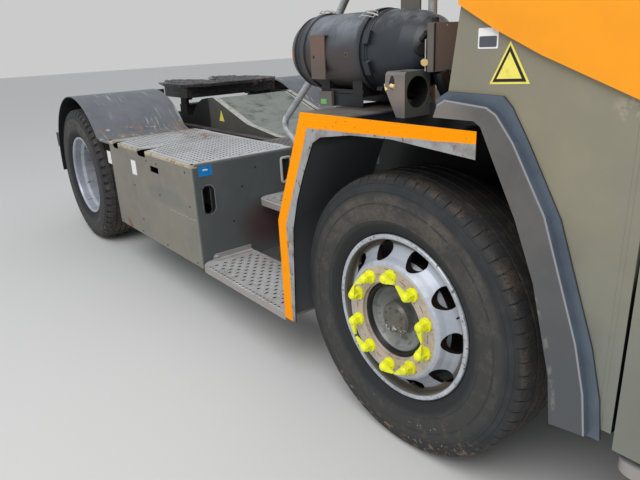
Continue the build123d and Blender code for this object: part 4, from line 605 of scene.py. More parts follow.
# %% Cab, plastic and steel finishes
f = Worn("cab_beige", (143, 136, 114), 0.5)
f.fleck((133, 127, 108), 2.0, 0.4, 0.7)
f.paint((118, 121, 112), f.below(f.z, 0.86, 0.22), 0.9)
f.fleck((108, 106, 94), 7, 0.4, 0.7, f.below(f.z, 0.95, 0.3), 0.6)
f.fleck((100, 94, 82), 90, 0.66, 0.7, 0.35)
f.fleck((120, 122, 114), 1.3, 0.42, 0.62, 0.4)
for x in (2.0785, 2.089):
    crease = f.times(f.band(f.x, x, x + 0.0012, 0.0012), f.band(f.z, 0.5, 1.25, 0.02))
    f.paint((92, 88, 74), crease, 0.55)
smear = f.times(f.spot((2.062, -1.22, 1.268), (0.035, 0.05, 0.028), 0.8), f.specks(70, 0.46, 0.56))
f.paint((166, 156, 140), smear, 0.7)
f.paint((255, 157, 0), f.above(f.out, 1.2212, 0.0005), f.above(f.z, 1.1))
# painted shade: near black inside the front wheel arch
f.paint_arch_shade(1.2185)
f.grain(0.08)

f = Worn("cleaner_plastic", (46, 51, 58), 0.42)
f.fleck((54, 58, 64), 5, 0.4, 0.7)
# painted shade: the front part of the cleaner is darker
f.paint((38, 43, 49), f.above(f.x, 1.1))
middle = f.times(f.band(f.x, 0.78, 1.085, 0.03), f.band(f.z, 1.25, 1.39, 0.06))
f.paint((76, 62, 57), middle, 0.7)
# painted highlight over dust: the top of the middle is paler
top_highlight_and_dust = f.times(f.band(f.x, 0.8, 1.085, 0.01), f.above(f.z, 1.43, 0.05), f.specks(9, 0.3, 0.7))
f.paint((122, 128, 136), top_highlight_and_dust, 0.85)
dust = f.times(f.step(f.facing("Z"), 0.45, 0.95), f.specks(26, 0.42, 0.7))
f.paint((112, 116, 122), dust, 0.55)
cap = f.below(f.x, 0.712, 0.01)
f.fleck((78, 82, 90), 9, 0.35, 0.7, cap)
f.fleck((168, 98, 44), 14, 0.42, 0.55, cap, f.band(f.z, 1.33, 1.41, 0.02))
for rgb, half in (((96, 76, 64), 0.009), ((12, 12, 12), 0.005)):
    f.paint(rgb, f.spot((1.034, -1.105, 1.372), (half, 0.05, half), 0.2))
f.paint((30, 32, 36), f.band(f.x, 0.716, 0.776, 0.002))
f.bump(f.noise(420.0, 2.0), 0.25, 0.0008)

f = Worn("boom_steel", (76, 76, 72), 0.55, 0.1)
f.fleck((88, 86, 80), 4, 0.4, 0.7)
guide = f.times(f.step(f.facing("Z"), 0.3, 0.5), f.below(f.out, 0.3), f.above(f.x, -1.5, 0.01))
f.paint((128, 133, 127), guide)
f.fleck((112, 117, 111), 7, 0.42, 0.66, guide)
f.fleck((84, 88, 83), 6, 0.53, 0.66, guide, centre=(2, 1, 0))
f.fleck((146, 142, 132), 60, 0.6, 0.68, guide, stretch=(0.3, 1, 1))
flange = f.times(f.step(f.facing("Z"), 0.3, 0.5), f.above(f.out, 0.3), f.band(f.x, -1.4, -0.48, 0.01))
f.paint((176, 176, 168), flange)
f.fleck((150, 148, 138), 18, 0.5, 0.6, flange)
f.paint((30, 29, 29), f.below(f.x, -1.46, 0.02))
f.grain(0.2, 120.0, 0.0015)

f = Worn("grease", (26, 25, 25), 0.34, 0.2)
f.fleck((44, 41, 39), 8, 0.45, 0.66)
f.fleck((92, 80, 72), 50, 0.6, 0.66)
ear = f.times(f.above(f.x, -1.72, 0.03), f.above(f.y, 0.16, 0.08), f.above(f.z, 1.085, 0.01))
f.fleck((146, 124, 112), 19, 0.47, 0.6, ear, 0.85)
f.bump(f.noise(34.0, 6.0, 0.7), 0.9, 0.012)

f = Worn("hand_tube", (172, 176, 178), 0.45, 0.3)
f.fleck((148, 150, 150), 12, 0.45, 0.66)
f.fleck((120, 112, 100), 34, 0.62, 0.66)
weld = f.spot((0.2, -0.8, 1.062), (0.035, 0.05, 0.022), 0.5)
f.paint((200, 206, 212), weld)
f.grain(0.1)

f = Worn("flare_plastic", (84, 95, 107), 0.5)
f.fleck((74, 83, 94), 8, 0.4, 0.7)
f.paint((66, 73, 84), f.above(f.facing("Z"), 0.6, 0.15))
depth = f.inside(FLARE_EDGE)
face = f.above(f.out, LIP)
f.paint((96, 93, 90), face)
f.fleck((84, 82, 81), 7, 0.4, 0.7, face)
f.paint((76, 79, 82), face, f.below(f.z, 0.85, 0.25))
f.paint((128, 120, 112), face, f.below(f.x, 1.66, 0.06), f.above(f.z, 1.2), 0.7)
f.paint((142, 144, 148), face, f.below(depth, 0.0045))
inner = f.times(face, f.above(f.x, 1.9), f.below(f.z, 1.05), f.specks(26, 0.5, 0.6))
f.paint((120, 116, 108), inner, f.band(depth, 0.075, 0.086, 0.003), 0.7)
# painted shade: the inner wall behind the flare's edge and its deeper parts are near black
f.paint((12, 12, 13), f.above(depth, 0.012, 0.002), f.below(f.out, LIP))
f.paint((30, 33, 38), f.below(f.out, 1.2245, 0.002))
f.grain(0.2, 300.0)

f = Worn("bracket_paint", (100, 95, 89), 0.6)
f.fleck((92, 86, 79), 6, 0.4, 0.7)
f.fleck((132, 116, 98), 14, 0.4, 0.6, f.above(f.facing("Z"), 0.6, 0.1))
f.fleck((116, 92, 76), 46, 0.64, 0.69, 0.6)
plate = f.times(f.below(f.y, -1.095, 0.002), f.below(f.x, 0.94))
f.paint((106, 86, 75), plate)
f.paint((90, 80, 73), plate, f.below(f.z, 1.35, 0.05))
saddle = f.times(f.band(f.z, 1.188, 1.33, 0.002), f.above(f.y, -1.064, 0.002), f.below(f.x, 1.2, 0.002))
f.paint((34, 31, 30), saddle)
# painted light: the face toward the cab is bluish grey to offset the orange light bounced from the cab
f.paint((112, 116, 120), f.above(f.facing("X"), 0.8, 0.1), f.above(f.x, 1.425))
f.paint((18, 18, 19), f.above(f.z, 1.4582), f.above(f.x, 1.39))
# painted shade: near black under the sheet box
f.paint((24, 24, 25), f.below(f.z, 1.318), f.above(f.x, 1.385))
f.grain(0.12)


def steel(name, colour, dust, rust=0.0):
    """Painted chassis steel with dust on its tops."""
    f = Worn(name, colour, 0.6)
    f.fleck(dust, 5, 0.4, 0.7)
    f.fleck((112, 104, 94), 9, 0.35, 0.65, f.step(f.facing("Z"), 0.5, 0.9), 0.6)
    f.fleck((122, 72, 48), 33, 0.62, 0.66, rust)
    # painted shade: near black inside the front wheel arch
    f.paint_arch_shade(1.1)
    f.grain(0.2, 120.0, 0.0015)


steel("chassis_steel", (54, 54, 56), (70, 66, 62), 0.8)
steel("floor_steel", (40, 40, 42), (50, 48, 46))

WORN_NODES = {
    "wheel_front": "front_wheel_right front_wheel_left", "wheel_rear": "rear_wheels_right rear_wheels_left",
    "fender_sheet": "front_fenders", "guard_sheet": "rear_guards", "locker_sheet": "locker_box",
    "cover_plate": "locker_cover", "step_plate": "access_steps", "deck_sheet": "deck_plates",
    "cab_beige": "cab_lower_sides door_right door_left", "cleaner_plastic": "air_cleaner",
    "boom_steel": "lift_boom", "grease": "fifth_wheel coupler_jaws", "hand_tube": "handrails",
    "flare_plastic": "wheel_flares", "bracket_paint": "cleaner_brackets", "housing_plastic": "round_housing",
    "chassis_steel": "frame_rails frame_crossmembers front_axle rear_axle engine_and_shaft",
    "floor_steel": "cab_floor", "lamp_lens": "lamps",
}
worn = {node: finish for finish, nodes in WORN_NODES.items() for node in nodes.split()}
for row in frame["record"]["subparts"]:
    materials = frame["nodes"][row["node"]].data.materials
    materials.clear()
    materials.append(FINISH[worn.get(row["node"], row["material_slot"])])
print(len(worn), "parts have their own worn finish")

# %% [markdown]
# One call for every new piece
#
# A new piece is a list of points and faces whose places are already right. It gets a finish, rides
# on the body that carries it, and is shaded smooth except across edges sharper than an angle.

# %% Piece helper
SHARP = radians(32)


def piece_of(name, points, faces, body, finish, sharp=SHARP):
    """A finished mesh piece that rides on a body."""
    mesh = bpy.data.meshes.new(name)
    mesh.from_pydata([tuple(p) for p in points], [], [tuple(f) for f in faces])
    shape = bmesh.new()
    shape.from_mesh(mesh)
    bmesh.ops.remove_doubles(shape, verts=shape.verts, dist=0.00001)
    bmesh.ops.recalc_face_normals(shape, faces=shape.faces)
    shape.to_mesh(mesh)
    shape.free()
    return dress(new_object(name, mesh), body, finish, sharp)


def dress(piece, body, finish, sharp=SHARP):
    """Shade, finish and carry a piece that is already in place."""
    mesh = piece.data
    mesh.polygons.foreach_set("use_smooth", [True] * len(mesh.polygons))
    mesh.set_sharp_from_angle(angle=sharp)
    if not mesh.materials:
        mesh.materials.append(FINISH[finish])
    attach(piece, body)
    return piece


def merged(parts):
    """Join several (points, faces) lists into one."""
    points, faces = [], []
    for some_points, some_faces in parts:
        start = len(points)
        points += list(some_points)
        faces += [tuple(start + i for i in face) for face in some_faces]
    return points, faces


def group(name, body, finish, *parts):
    """One finished piece made of several."""
    return piece_of(name, *merged(parts), body, finish)


def skin(columns, rows, closed=True):
    """Four-sided faces between neighbouring columns of points, each column a closed ring."""
    faces = []
    for k in range(columns if closed else columns - 1):
        here, there = k * rows, (k + 1) % columns * rows
        faces += [(here + j, here + (j + 1) % rows, there + (j + 1) % rows, there + j) for j in range(rows)]
    return faces


def panel(outline, thickness, place):
    """A flat plate: outline in two directions, given a thickness, put in place by a function."""
    count = len(outline)
    points = [place(u, v, 0.0) for u, v in outline] + [place(u, v, thickness) for u, v in outline]
    faces = [tuple(range(count - 1, -1, -1)), tuple(range(count, 2 * count))]
    faces += [(j, (j + 1) % count, count + (j + 1) % count, count + j) for j in range(count)]
    return points, faces


def rounded(x0, x1, y0, y1, radius, steps=4):
    """Outline of a rectangle with round corners."""
    outline = []
    for cx, cy, start in ((x1 - radius, y1 - radius, 0), (x0 + radius, y1 - radius, 90),
                          (x0 + radius, y0 + radius, 180), (x1 - radius, y0 + radius, 270)):
        for k in range(steps + 1):
            turn = radians(start + 90 * k / steps)
            outline.append((cx + radius * cos(turn), cy + radius * sin(turn)))
    return outline


def tube(route, radius, sides=12, closed=False):
    """A round tube along a list of points."""
    route = [Vector(p) for p in route]
    points = []
    count = len(route)
    across = None
    for k, here in enumerate(route):
        before = route[k - 1] if k or closed else here
        after = route[(k + 1) % count] if k + 1 < count or closed else here
        along = (after - before).normalized()
        if across is None:
            across = along.orthogonal().normalized()
        across = (across - along * across.dot(along)).normalized()
        other = along.cross(across)
        for j in range(sides):
            turn = tau * j / sides
            points.append(here + radius * (cos(turn) * across + sin(turn) * other))
    faces = skin(count, sides, closed)
    if not closed:
        faces += [tuple(range(sides - 1, -1, -1)), tuple(range((count - 1) * sides, count * sides))]
    return points, faces


SIDES = (("right", -1), ("left", 1))

# %% [markdown]
# Tyres
#
# A worn truck tyre is a turned shape: a flat tread with a few grooves that run round it, a shoulder
# with small cuts, and a wall with thin ridges. The outline below is read from the middle of the
# tread out to the bead. The third column says how deep the cuts go at that point. The driven tyres
# have wider cuts, which leave lugs. A lathe in code gives the cuts their own narrow columns, so the
# tread stays light where nothing happens.

# %% Tyre outline and cuts
TYRE_OUTLINE = (
    # radius, across from the middle, depth of the shoulder cuts
    (0.505, 0.018, 0.0), (0.496, 0.019, 0.0), (0.496, 0.026, 0.0), (0.5048, 0.027, 0.0),
    (0.5044, 0.061, 0.0), (0.495, 0.062, 0.0), (0.495, 0.07, 0.0), (0.5038, 0.071, 0.0),
    (0.5026, 0.098, 0.002), (0.501, 0.104, 0.007), (0.497, 0.116, 0.01), (0.49, 0.123, 0.009),
    (0.48, 0.129, 0.003), (0.477, 0.13, 0.0), (0.474, 0.129, 0.0), (0.47, 0.1325, 0.0),
    (0.456, 0.1352, 0.0), (0.454, 0.138, 0.0), (0.45, 0.1382, 0.0), (0.448, 0.1362, 0.0),
    (0.425, 0.138, 0.0), (0.4, 0.1395, 0.0), (0.375, 0.1396, 0.0), (0.356, 0.1362, 0.0),
    (0.354, 0.1378, 0.0), (0.35, 0.1372, 0.0), (0.348, 0.135, 0.0), (0.335, 0.132, 0.0),
    (0.32, 0.124, 0.0), (0.312, 0.118, 0.0), (0.3005, 0.107, 0.0), (0.2862, 0.105, 0.0),
)


def tyre_mesh(centre, cuts, cut_share, depth):
    """Points and faces of one tyre with its shoulder cuts."""
    outline = [*TYRE_OUTLINE, *((r, -a, d) for r, a, d in reversed(TYRE_OUTLINE))]
    turns = []
    for k in range(cuts):
        for share, deep in ((0.0, 0), (cut_share * 0.25, 1), (cut_share, 1), (cut_share * 1.25, 0),
                            (0.62, 0), (0.81, 0)):
            turns.append((tau * (k + share) / cuts, deep))
    points = []
    for turn, deep in turns:
        for radius, across, cut in outline:
            r = radius - cut * depth * deep
            points.append((centre[0] + r * cos(turn), centre[1] + across, centre[2] + r * sin(turn)))
    return points, skin(len(turns), len(outline))


TYRE_SHARP = radians(28)
for word, side in SIDES:
    single = tyre_mesh((AXLE_F, 1.052 * side, AXLE_Z), 72, 0.1, 0.55)
    tyre = piece_of(f"worn_tyre_{word}", *single, f"front_wheel_{word}", "rubber_front", TYRE_SHARP)
    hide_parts(f"front_tyre_{word}")
    pair = merged([tyre_mesh((AXLE_R, y * side, AXLE_Z), 54, 0.34, 1.9) for y in (1.097, 0.767)])
    tyre = piece_of(f"driven_tyres_{word}", *pair, f"rear_wheels_{word}", "rubber_rear", TYRE_SHARP)
    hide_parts(f"rear_tyres_{word}")
print("tyres", len(TYRE_OUTLINE) * 2, "points round the outline")

# %% [markdown]
# Seat cushions
#
# The driver's seat has two padded parts, a cushion and a high back. Real padding is foam under a
# tight cover, so its middle is crowned and its sides pull in. A box is remeshed into small squares
# and blown up a little by the cloth solver, which gives the crown, and the growth is capped so that
# the pad stays inside its place. The channels that a machine sews are pressed in afterwards.

# %% Padding by cloth
SEAT_X, SEAT_Y = 1.79, 0.38


def settle(piece):
    """Keep what the modifiers make as a plain mesh, and remove them."""
    graph = bpy.context.evaluated_depsgraph_get()
    plain = bpy.data.meshes.new_from_object(piece.evaluated_get(graph))
    piece.modifiers.clear()
    piece.data = plain


def pad(name, corners, voxel, cap):
    """A padded block from its eight corners: remesh, inflate, cap."""
    mesh = bpy.data.meshes.new(name)
    mesh.from_pydata(corners, [],
                     [(0, 3, 2, 1), (4, 5, 6, 7), (0, 1, 5, 4), (1, 2, 6, 5), (2, 3, 7, 6), (3, 0, 4, 7)])
    piece = new_object(name, mesh)
    bevel = piece.modifiers.new("corners", "BEVEL")
    bevel.width, bevel.segments = 0.035, 4
    remesh = piece.modifiers.new("squares", "REMESH")
    remesh.mode, remesh.voxel_size = "VOXEL", voxel
    settle(piece)
    start = [v.co.copy() for v in piece.data.vertices]
    cloth = piece.modifiers.new("cloth", "CLOTH")
    cloth.settings.use_pressure = True
    cloth.settings.uniform_pressure_force = 4.0
    cloth.settings.effector_weights.gravity = 0.0
    cloth.point_cache.frame_start, cloth.point_cache.frame_end = 1, 20
    for step in range(1, 21):
        bpy.context.scene.frame_set(step)
    settle(piece)
    for vertex, old in zip(piece.data.vertices, start):
        move = vertex.co - old
        if move.length > cap:
            vertex.co = old + move * (cap / move.length)
    bpy.context.scene.frame_set(1)
    return piece


def channels(piece, rows, depth, width, axis):
    """Press sewn channels across a pad, at given places along one axis."""
    for vertex in piece.data.vertices:
        place = vertex.co[axis]
        for row in rows:
            fall = exp(-((place - row) / width) ** 2)
            vertex.co -= vertex.normal * depth * fall


def block(x0, x1, half0, half1, z0, z1, shift=0.0):
    """Eight corners of a block on the seat's middle line, from lower and upper half widths."""
    corners = []
    for half, z, move in ((half0, z0, 0.0), (half1, z1, shift)):
        for x, sign in ((x0, -1), (x1, -1), (x1, 1), (x0, 1)):
            corners.append((SEAT_X + x + move, SEAT_Y + half * sign, z))
    return corners


# %% Cushion and backrest in place
VOXEL = 0.008
cushion = pad("seat_cushion", block(-0.035, 0.385, 0.232, 0.232, 1.365, 1.462), VOXEL, 0.016)
channels(cushion, [SEAT_X + x for x in (0.05, 0.14, 0.23, 0.31)], 0.006, 0.008, 0)
backrest = pad("seat_backrest", block(-0.045, 0.045, 0.225, 0.205, 1.47, 1.9, -0.03), VOXEL, 0.014)
channels(backrest, (1.56, 1.65, 1.74, 1.83), 0.005, 0.008, 2)
headrest = pad("seat_headrest", block(-0.08, -0.005, 0.13, 0.12, 1.925, 2.105, -0.012), VOXEL, 0.012)


def on_seat(z):
    """Directions on a level face of the seat: u ahead, v to the left."""
    return lambda u, v, w: (SEAT_X + u, SEAT_Y + v, z + w)


shell = group("seat_shell", "cab", "black_plastic",
              panel(rounded(-0.055, 0.27, -0.175, 0.175, 0.02), 0.09, on_seat(1.2405)),
              panel(rounded(-0.058, 0.392, -0.24, 0.24, 0.04), 0.026, on_seat(1.34)),
              *[tube([(SEAT_X - 0.045, SEAT_Y + y, 1.88), (SEAT_X - 0.055, SEAT_Y + y, 1.95)], 0.007)
                for y in (-0.05, 0.05)])
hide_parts("seat")
for soft in (cushion, backrest, headrest):
    smoother = soft.modifiers.new("smooth", "SUBSURF")
    smoother.levels = smoother.render_levels = 1
    settle(soft)
    soft.data.materials.clear()
    dress(soft, "cab", "seat_fabric", radians(60))
    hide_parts("seat")
print("seat pads", [len(p.data.polygons) for p in (cushion, backrest, headrest)], "faces")

# %% [markdown]
# A node tree that repeats
#
# Bolts, rivets and punched holes are the same small shape many times over. One Geometry Nodes tree
# does them all: it reads a mesh that is only points, turns a small cone so that it stands on each
# point, and joins the copies. Two named attributes on the points say which way is out and which way
# is along. The result is turned into a plain mesh, so nothing in the scene depends on the tree.

# %% Repeat tree
def repeat_tree():
    tree = bpy.data.node_groups.new("repeat_on_points", "GeometryNodeTree")
    make = tree.interface.new_socket
    for label, kind in (("Points", "Geometry"), ("Radius", "Float"), ("Height", "Float"),
                        ("Top share", "Float"), ("Sides", "Int"), ("Stretch", "Float"), ("Vary", "Float"),
                        ("Finish", "Material")):
        make(label, in_out="INPUT", socket_type="NodeSocket" + kind)
    make("Mesh", in_out="OUTPUT", socket_type="NodeSocketGeometry")
    new = tree.nodes.new
    given, result = new("NodeGroupInput"), new("NodeGroupOutput")

    def link(giver, output, taker, socket):
        tree.links.new(giver.outputs[output], taker.inputs[socket])

    cone = new("GeometryNodeMeshCone")
    top = new("ShaderNodeMath")
    top.operation = "MULTIPLY"
    link(given, "Radius", top, 0)
    link(given, "Top share", top, 1)
    link(given, "Sides", cone, "Vertices")
    link(given, "Radius", cone, "Radius Bottom")
    link(top, 0, cone, "Radius Top")
    link(given, "Height", cone, "Depth")
    turned = None
    for name, letter in (("facing", "Z"), ("along", "X")):
        read = new("GeometryNodeInputNamedAttribute")
        read.data_type = "FLOAT_VECTOR"
        read.inputs["Name"].default_value = name
        align = new("FunctionNodeAlignRotationToVector")
        align.axis = letter
        if turned is not None:
            align.pivot_axis = "Z"
            link(turned, "Rotation", align, "Rotation")
        link(read, "Attribute", align, "Vector")
        turned = align
    chance = new("FunctionNodeRandomValue")
    chance.data_type = "FLOAT"
    chance.inputs["Seed"].default_value = 7
    low = new("ShaderNodeMath")
    low.operation = "SUBTRACT"
    low.inputs[0].default_value = 1.0
    link(given, "Vary", low, 1)
    link(low, 0, chance, 2)
    chance.inputs[3].default_value = 1.0
    size = new("ShaderNodeCombineXYZ")
    for letter in "XYZ":
        size.inputs[letter].default_value = 1.0
    link(given, "Stretch", size, "X")
    scaled = new("ShaderNodeVectorMath")
    scaled.operation = "SCALE"
    link(size, 0, scaled, 0)
    link(chance, 1, scaled, "Scale")
    copies = new("GeometryNodeInstanceOnPoints")
    link(given, "Points", copies, "Points")
    link(cone, "Mesh", copies, "Instance")
    link(turned, "Rotation", copies, "Rotation")
    link(scaled, "Vector", copies, "Scale")
    real, coat = new("GeometryNodeRealizeInstances"), new("GeometryNodeSetMaterial")
    link(copies, "Instances", real, "Geometry")
    link(real, "Geometry", coat, "Geometry")
    link(given, "Finish", coat, "Material")
    link(coat, "Geometry", result, "Mesh")
    return tree


REPEAT = repeat_tree()
INPUT = {item.name: item.identifier for item in REPEAT.interface.items_tree if item.in_out == "INPUT"}


def repeat(name, spots, body, finish, radius, height, sides=6, top=1.0, stretch=1.0, vary=0.0):
    """Small shapes on (place, facing, along) spots, as one plain mesh on a body."""
    mesh = bpy.data.meshes.new(name)
    mesh.from_pydata([spot[0] for spot in spots], [], [])
    for column, label in ((1, "facing"), (2, "along")):
        layer = mesh.attributes.new(label, "FLOAT_VECTOR", "POINT")
        layer.data.foreach_set("vector", [value for spot in spots for value in spot[column]])
    piece = new_object(name, mesh)
    step = piece.modifiers.new("repeat", "NODES")
    step.node_group = REPEAT
    for label, value in (("Radius", radius), ("Height", height), ("Top share", top), ("Sides", sides),
                         ("Stretch", stretch), ("Vary", vary), ("Finish", FINISH[finish])):
        step[INPUT[label]] = value
    settle(piece)
    return dress(piece, body, finish)


UP, AHEAD = (0, 0, 1), (1, 0, 0)


def sideways(side):
    return (0, side, 0)


def grid(x0, x1, dx, y0, y1, dy, shifted=True):
    """Places in rows; every other row is shifted by half a step."""
    rows = []
    for j in range(int((y1 - y0) / dy) + 1):
        shift = dx / 2 if shifted and j % 2 else 0.0
        for k in range(int((x1 - x0 - shift) / dx) + 1):
            rows.append((x0 + shift + dx * k, y0 + dy * j))
    return rows


print("repeat inputs:", ", ".join(INPUT))

# %% [markdown]
# Punched plates
#
# The locker's cover and the walkway are punched with round holes, the steps with long ones. At this size a
# hole is a dark dimple: a thin disc with only six sides, a hair above the sheet, painted dark for the shade
# seen through the hole. The steps also have small raised dots for grip, and a row of raised rings along their
# outer edge, each with a dark eye painted as shade.

# %% Holes and grip dots
HAIR, LID_TOP = 0.0004, 0.8602
NOTCHED = ((-1.205, -1.055), (-0.8, -0.585))
cover_low, cover_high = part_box("locker_cover")
spots = []
for x, y in grid(cover_low.x + 0.045, cover_high.x - 0.025, 0.035, cover_low.y + 0.03, cover_high.y - 0.045,
                 0.03):
    wedge = any(a < x < b and y < cover_low.y + 0.16 * (1 - (x - a) / (b - a)) + 0.02 for a, b in NOTCHED)
    if not wedge:
        spots.append(((x, y, LID_TOP + HAIR), UP, AHEAD))
repeat("cover_holes", spots, "locker_lid", "hole_dark", 0.0075, 0.0003, sides=8, vary=0.15)
print("cover holes", len(spots))

STEP_ROWS = (
    # name, rear x, front x, inner |y|, outer |y|, top z
    ("lower", -0.025, 0.768, 0.925, 1.25, 0.335),
    ("upper", -0.025, 0.768, 0.64, 0.872, 0.62),
    ("door", 2.125, 2.71, 0.96, 1.22, 0.437),
)
STEP_DX, STEP_DY = 0.034, 0.026  # spacing of holes and dots
FIRST_X, FIRST_Y = 0.085, 0.035  # the first one, from the rear and the inner edge
holes, dots, rings, eyes = [], [], [], []
for word, side in SIDES:
    for name, x0, x1, y0, y1, top in STEP_ROWS:
        for x, y in grid(x0 + FIRST_X, x1 - 0.04, STEP_DX, y0 + FIRST_Y, y1 - 0.045, STEP_DY, shifted=False):
            k = round((x - x0 - FIRST_X) / STEP_DX) + round((y - y0 - FIRST_Y) / STEP_DY)
            place = (x, y * side, top + HAIR)
            (holes if k % 2 else dots).append((place, UP, sideways(1)))
        for k in range(int((x1 - x0 - 0.12) / 0.03)):
            place = (x0 + 0.095 + 0.03 * k, (y1 - 0.014) * side, top + HAIR)
            rings.append((place, UP, AHEAD))
            eyes.append(((place[0], place[1], top + 0.0032), UP, AHEAD))
repeat("step_holes", holes, "chassis", "hole_dark", 0.0055, 0.0003, sides=8, stretch=2.0)
repeat("step_dots", dots, "chassis", "step_plate", 0.0048, 0.003, sides=8, top=0.5)
repeat("step_rings", rings, "chassis", "step_plate", 0.0105, 0.0026, sides=10, top=0.8)
repeat("step_eyes", eyes, "chassis", "hole_dark", 0.0055, 0.0003, sides=8)
walk = [((x, y, 0.85 + HAIR), UP, AHEAD) for x, y in grid(-0.34, 0.755, 0.04, -0.555, 0.555, 0.02)]
repeat("walkway_holes", walk, "chassis", "hole_dark", 0.006, 0.0003, sides=6)
print("step holes", len(holes), "dots", len(dots), "walkway", len(walk))

# %% [markdown]
# Bolts and screws
#
# Hexagon bolt heads hold the frame together, flat screws hold sheet metal. The tables give runs of
# them: where a run starts, where it ends and how many there are.

# %% Bolt runs
def run(start, end, number, facing):
    """Evenly spaced places from start to end on one side of the vehicle."""
    result = []
    for k in range(number):
        share = k / max(number - 1, 1)
        place = [a + (b - a) * share for a, b in zip(start, end)]
        result.append((tuple(place), facing, UP))
    return result


FRAME_SIDE = 0.4302  # outer face of a frame rail, from the middle plane
heads = []
for word, side in SIDES:
    for z in (0.64, 0.7, 0.76):
        heads += run((-2.66, FRAME_SIDE * side, z), (-1.62, FRAME_SIDE * side, z), 6, sideways(side))
        heads += run((0.1, FRAME_SIDE * side, z), (0.7, FRAME_SIDE * side, z), 3, sideways(side))
repeat("frame_bolts", heads, "chassis", "chassis_steel", 0.014, 0.01, sides=6, top=0.94)
SIDE_SCREWS = (
    # x from the front axle, z on the locker's side
    (-1.975, 0.804), (-1.828, 0.806), (-1.46, 0.812), (-2.224, 0.618), (-1.835, 0.624), (-1.446, 0.63),
    (-2.158, 0.409), (-1.435, 0.317), (-1.823, 0.32), (-2.2, 0.322), (-2.571, 0.319),
)
locker_screws = [((AXLE_F + x, -1.2322, z), sideways(-1), UP) for x, z in SIDE_SCREWS]
FRONT_SCREWS = ((-0.86, 0.79), (-0.72, 0.55), (-1.02, 0.52), (-0.95, 0.7))  # y, z on the front face
locker_screws += [((-0.0248, y, z), AHEAD, UP) for y, z in FRONT_SCREWS]
repeat("locker_screws", locker_screws, "chassis", "hole_dark", 0.0058, 0.0022, sides=8, top=0.7)
plugs = [((-0.036, -1.222, LID_TOP), UP, AHEAD), ((-1.236, -1.222, LID_TOP), UP, AHEAD)]
repeat("locker_plugs", plugs, "chassis", "hole_dark", 0.0105, 0.004, sides=10, top=0.6)
CAP_BOLTS, CAP_REACH, VALVE_REACH, VALVE_TURN = 8, 0.041, 0.268, 0.35
for word, side in SIDES:
    def on_wheel(reach, turn, y):
        """A spot on the front wheel: distance and angle about its axle."""
        place = (AXLE_F + reach * cos(turn), y * side, AXLE_Z + reach * sin(turn))
        return place, sideways(side), UP

    caps = [on_wheel(CAP_REACH, tau * (k + 0.5) / CAP_BOLTS, 1.1895) for k in range(CAP_BOLTS)]
    repeat(f"cap_bolts_{word}", caps, f"front_wheel_{word}", "chassis_steel", 0.004, 0.0015, sides=6, top=0.7)
    valve = [on_wheel(VALVE_REACH, VALVE_TURN, 1.128)]
    repeat(f"valve_{word}", valve, f"front_wheel_{word}", "hole_dark", 0.0045, 0.038, sides=8, top=0.7)
print("frame bolts", len(heads), "locker screws", len(locker_screws))

# %% [markdown]
# Labels and small fittings on the locker and steps
#
# Labels are thin blank plates stuck on the sheet. The locker's front face carries a flush grab
# handle and an angle strip above the lower step. Thin pieces like these are outlines given a
# thickness, set in place by a short function that says which way their two directions run.

# %% Blank labels
def flat(name, red, green, blue, roughness=0.4):
    """A printed or painted flat surface with faint dirt."""
    f = Worn(name, (red, green, blue), roughness)
    f.fleck((red * 0.72, green * 0.7, blue * 0.66), 40, 0.5, 0.66, 0.35)
    f.grain(0.05)


for row in (("label_white", 236, 234, 232), ("label_blue", 22, 130, 205), ("label_yellow", 240, 226, 104),
            ("label_black", 26, 26, 26), ("label_green", 110, 176, 96), ("label_dark", 78, 80, 88),
            ("cream_bit", 226, 204, 140), ("pale_metal", 178, 176, 170), ("rubber_black", 26, 27, 29),
            ("pedal_grey", 70, 72, 74)):
    flat(*row)


def on_right(y):
    """Directions on a face that looks to the right: u ahead, v up."""
    return lambda u, v, w: (u, y - w, v)


def on_front(x):
    """Directions on a face that looks ahead: u to the left, v up."""
    return lambda u, v, w: (x + w, u, v)


def on_top(z):
    return lambda u, v, w: (u, v, z + w)


def label(name, finish, outline, place, body="chassis", thickness=0.0006):
    return piece_of(name, *panel(outline, thickness, place), body, finish)


def oval(u, v, half_u, half_v, count):
    """Outline of a circle or an oval."""
    return [(u + half_u * cos(tau * k / count), v + half_v * sin(tau * k / count))
            for k in range(count)]


LOCKER_SIDE, LOCKER_FRONT, CAB_SIDE = -1.2321, -0.0249, -1.2201
LABELS = (
    # name, finish, first and last u, first and last v, place, body
    ("locker_label_rear", "label_white", -1.318, -1.248, 0.7, 0.785, on_right(LOCKER_SIDE), "chassis"),
    ("locker_label_mid", "label_white", -0.88, -0.805, 0.69, 0.78, on_right(LOCKER_SIDE), "chassis"),
    ("locker_sticker", "label_blue", -1.195, -1.118, 0.794, 0.846, on_front(LOCKER_FRONT), "chassis"),
    ("locker_sticker_bar", "label_white", -1.172, -1.142, 0.822, 0.829, on_front(-0.0242), "chassis"),
    ("cab_label", "label_white", 1.676, 1.734, 1.386, 1.434, on_right(CAB_SIDE), "cab"),
    ("cab_label_field", "label_dark", 1.68, 1.73, 1.39, 1.415, on_right(-1.2208), "cab"),
    ("foot_sticker", "label_green", 0.856, 0.89, 1.196, 1.214, on_right(-1.0751), "chassis"),
)
for name, finish, u0, u1, v0, v1, place, body in LABELS:
    label(name, finish, rounded(u0, u1, v0, v1, 0.003, 2), place, body)
TRIANGLE = ((1.715, 1.303), (1.826, 1.307), (1.768, 1.403))
middle = (sum(u for u, v in TRIANGLE) / 3, sum(v for u, v in TRIANGLE) / 3)
for k, (finish, share) in enumerate((("label_yellow", 1.0), ("label_black", 0.84), ("label_yellow", 0.62))):
    outline = [[m + (c - m) * share for c, m in zip(corner, middle)] for corner in TRIANGLE]
    label(f"cab_triangle_{k}", finish, outline, on_right(CAB_SIDE - 0.0007 * k), "cab")
BOOM_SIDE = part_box("lift_boom")[0].y
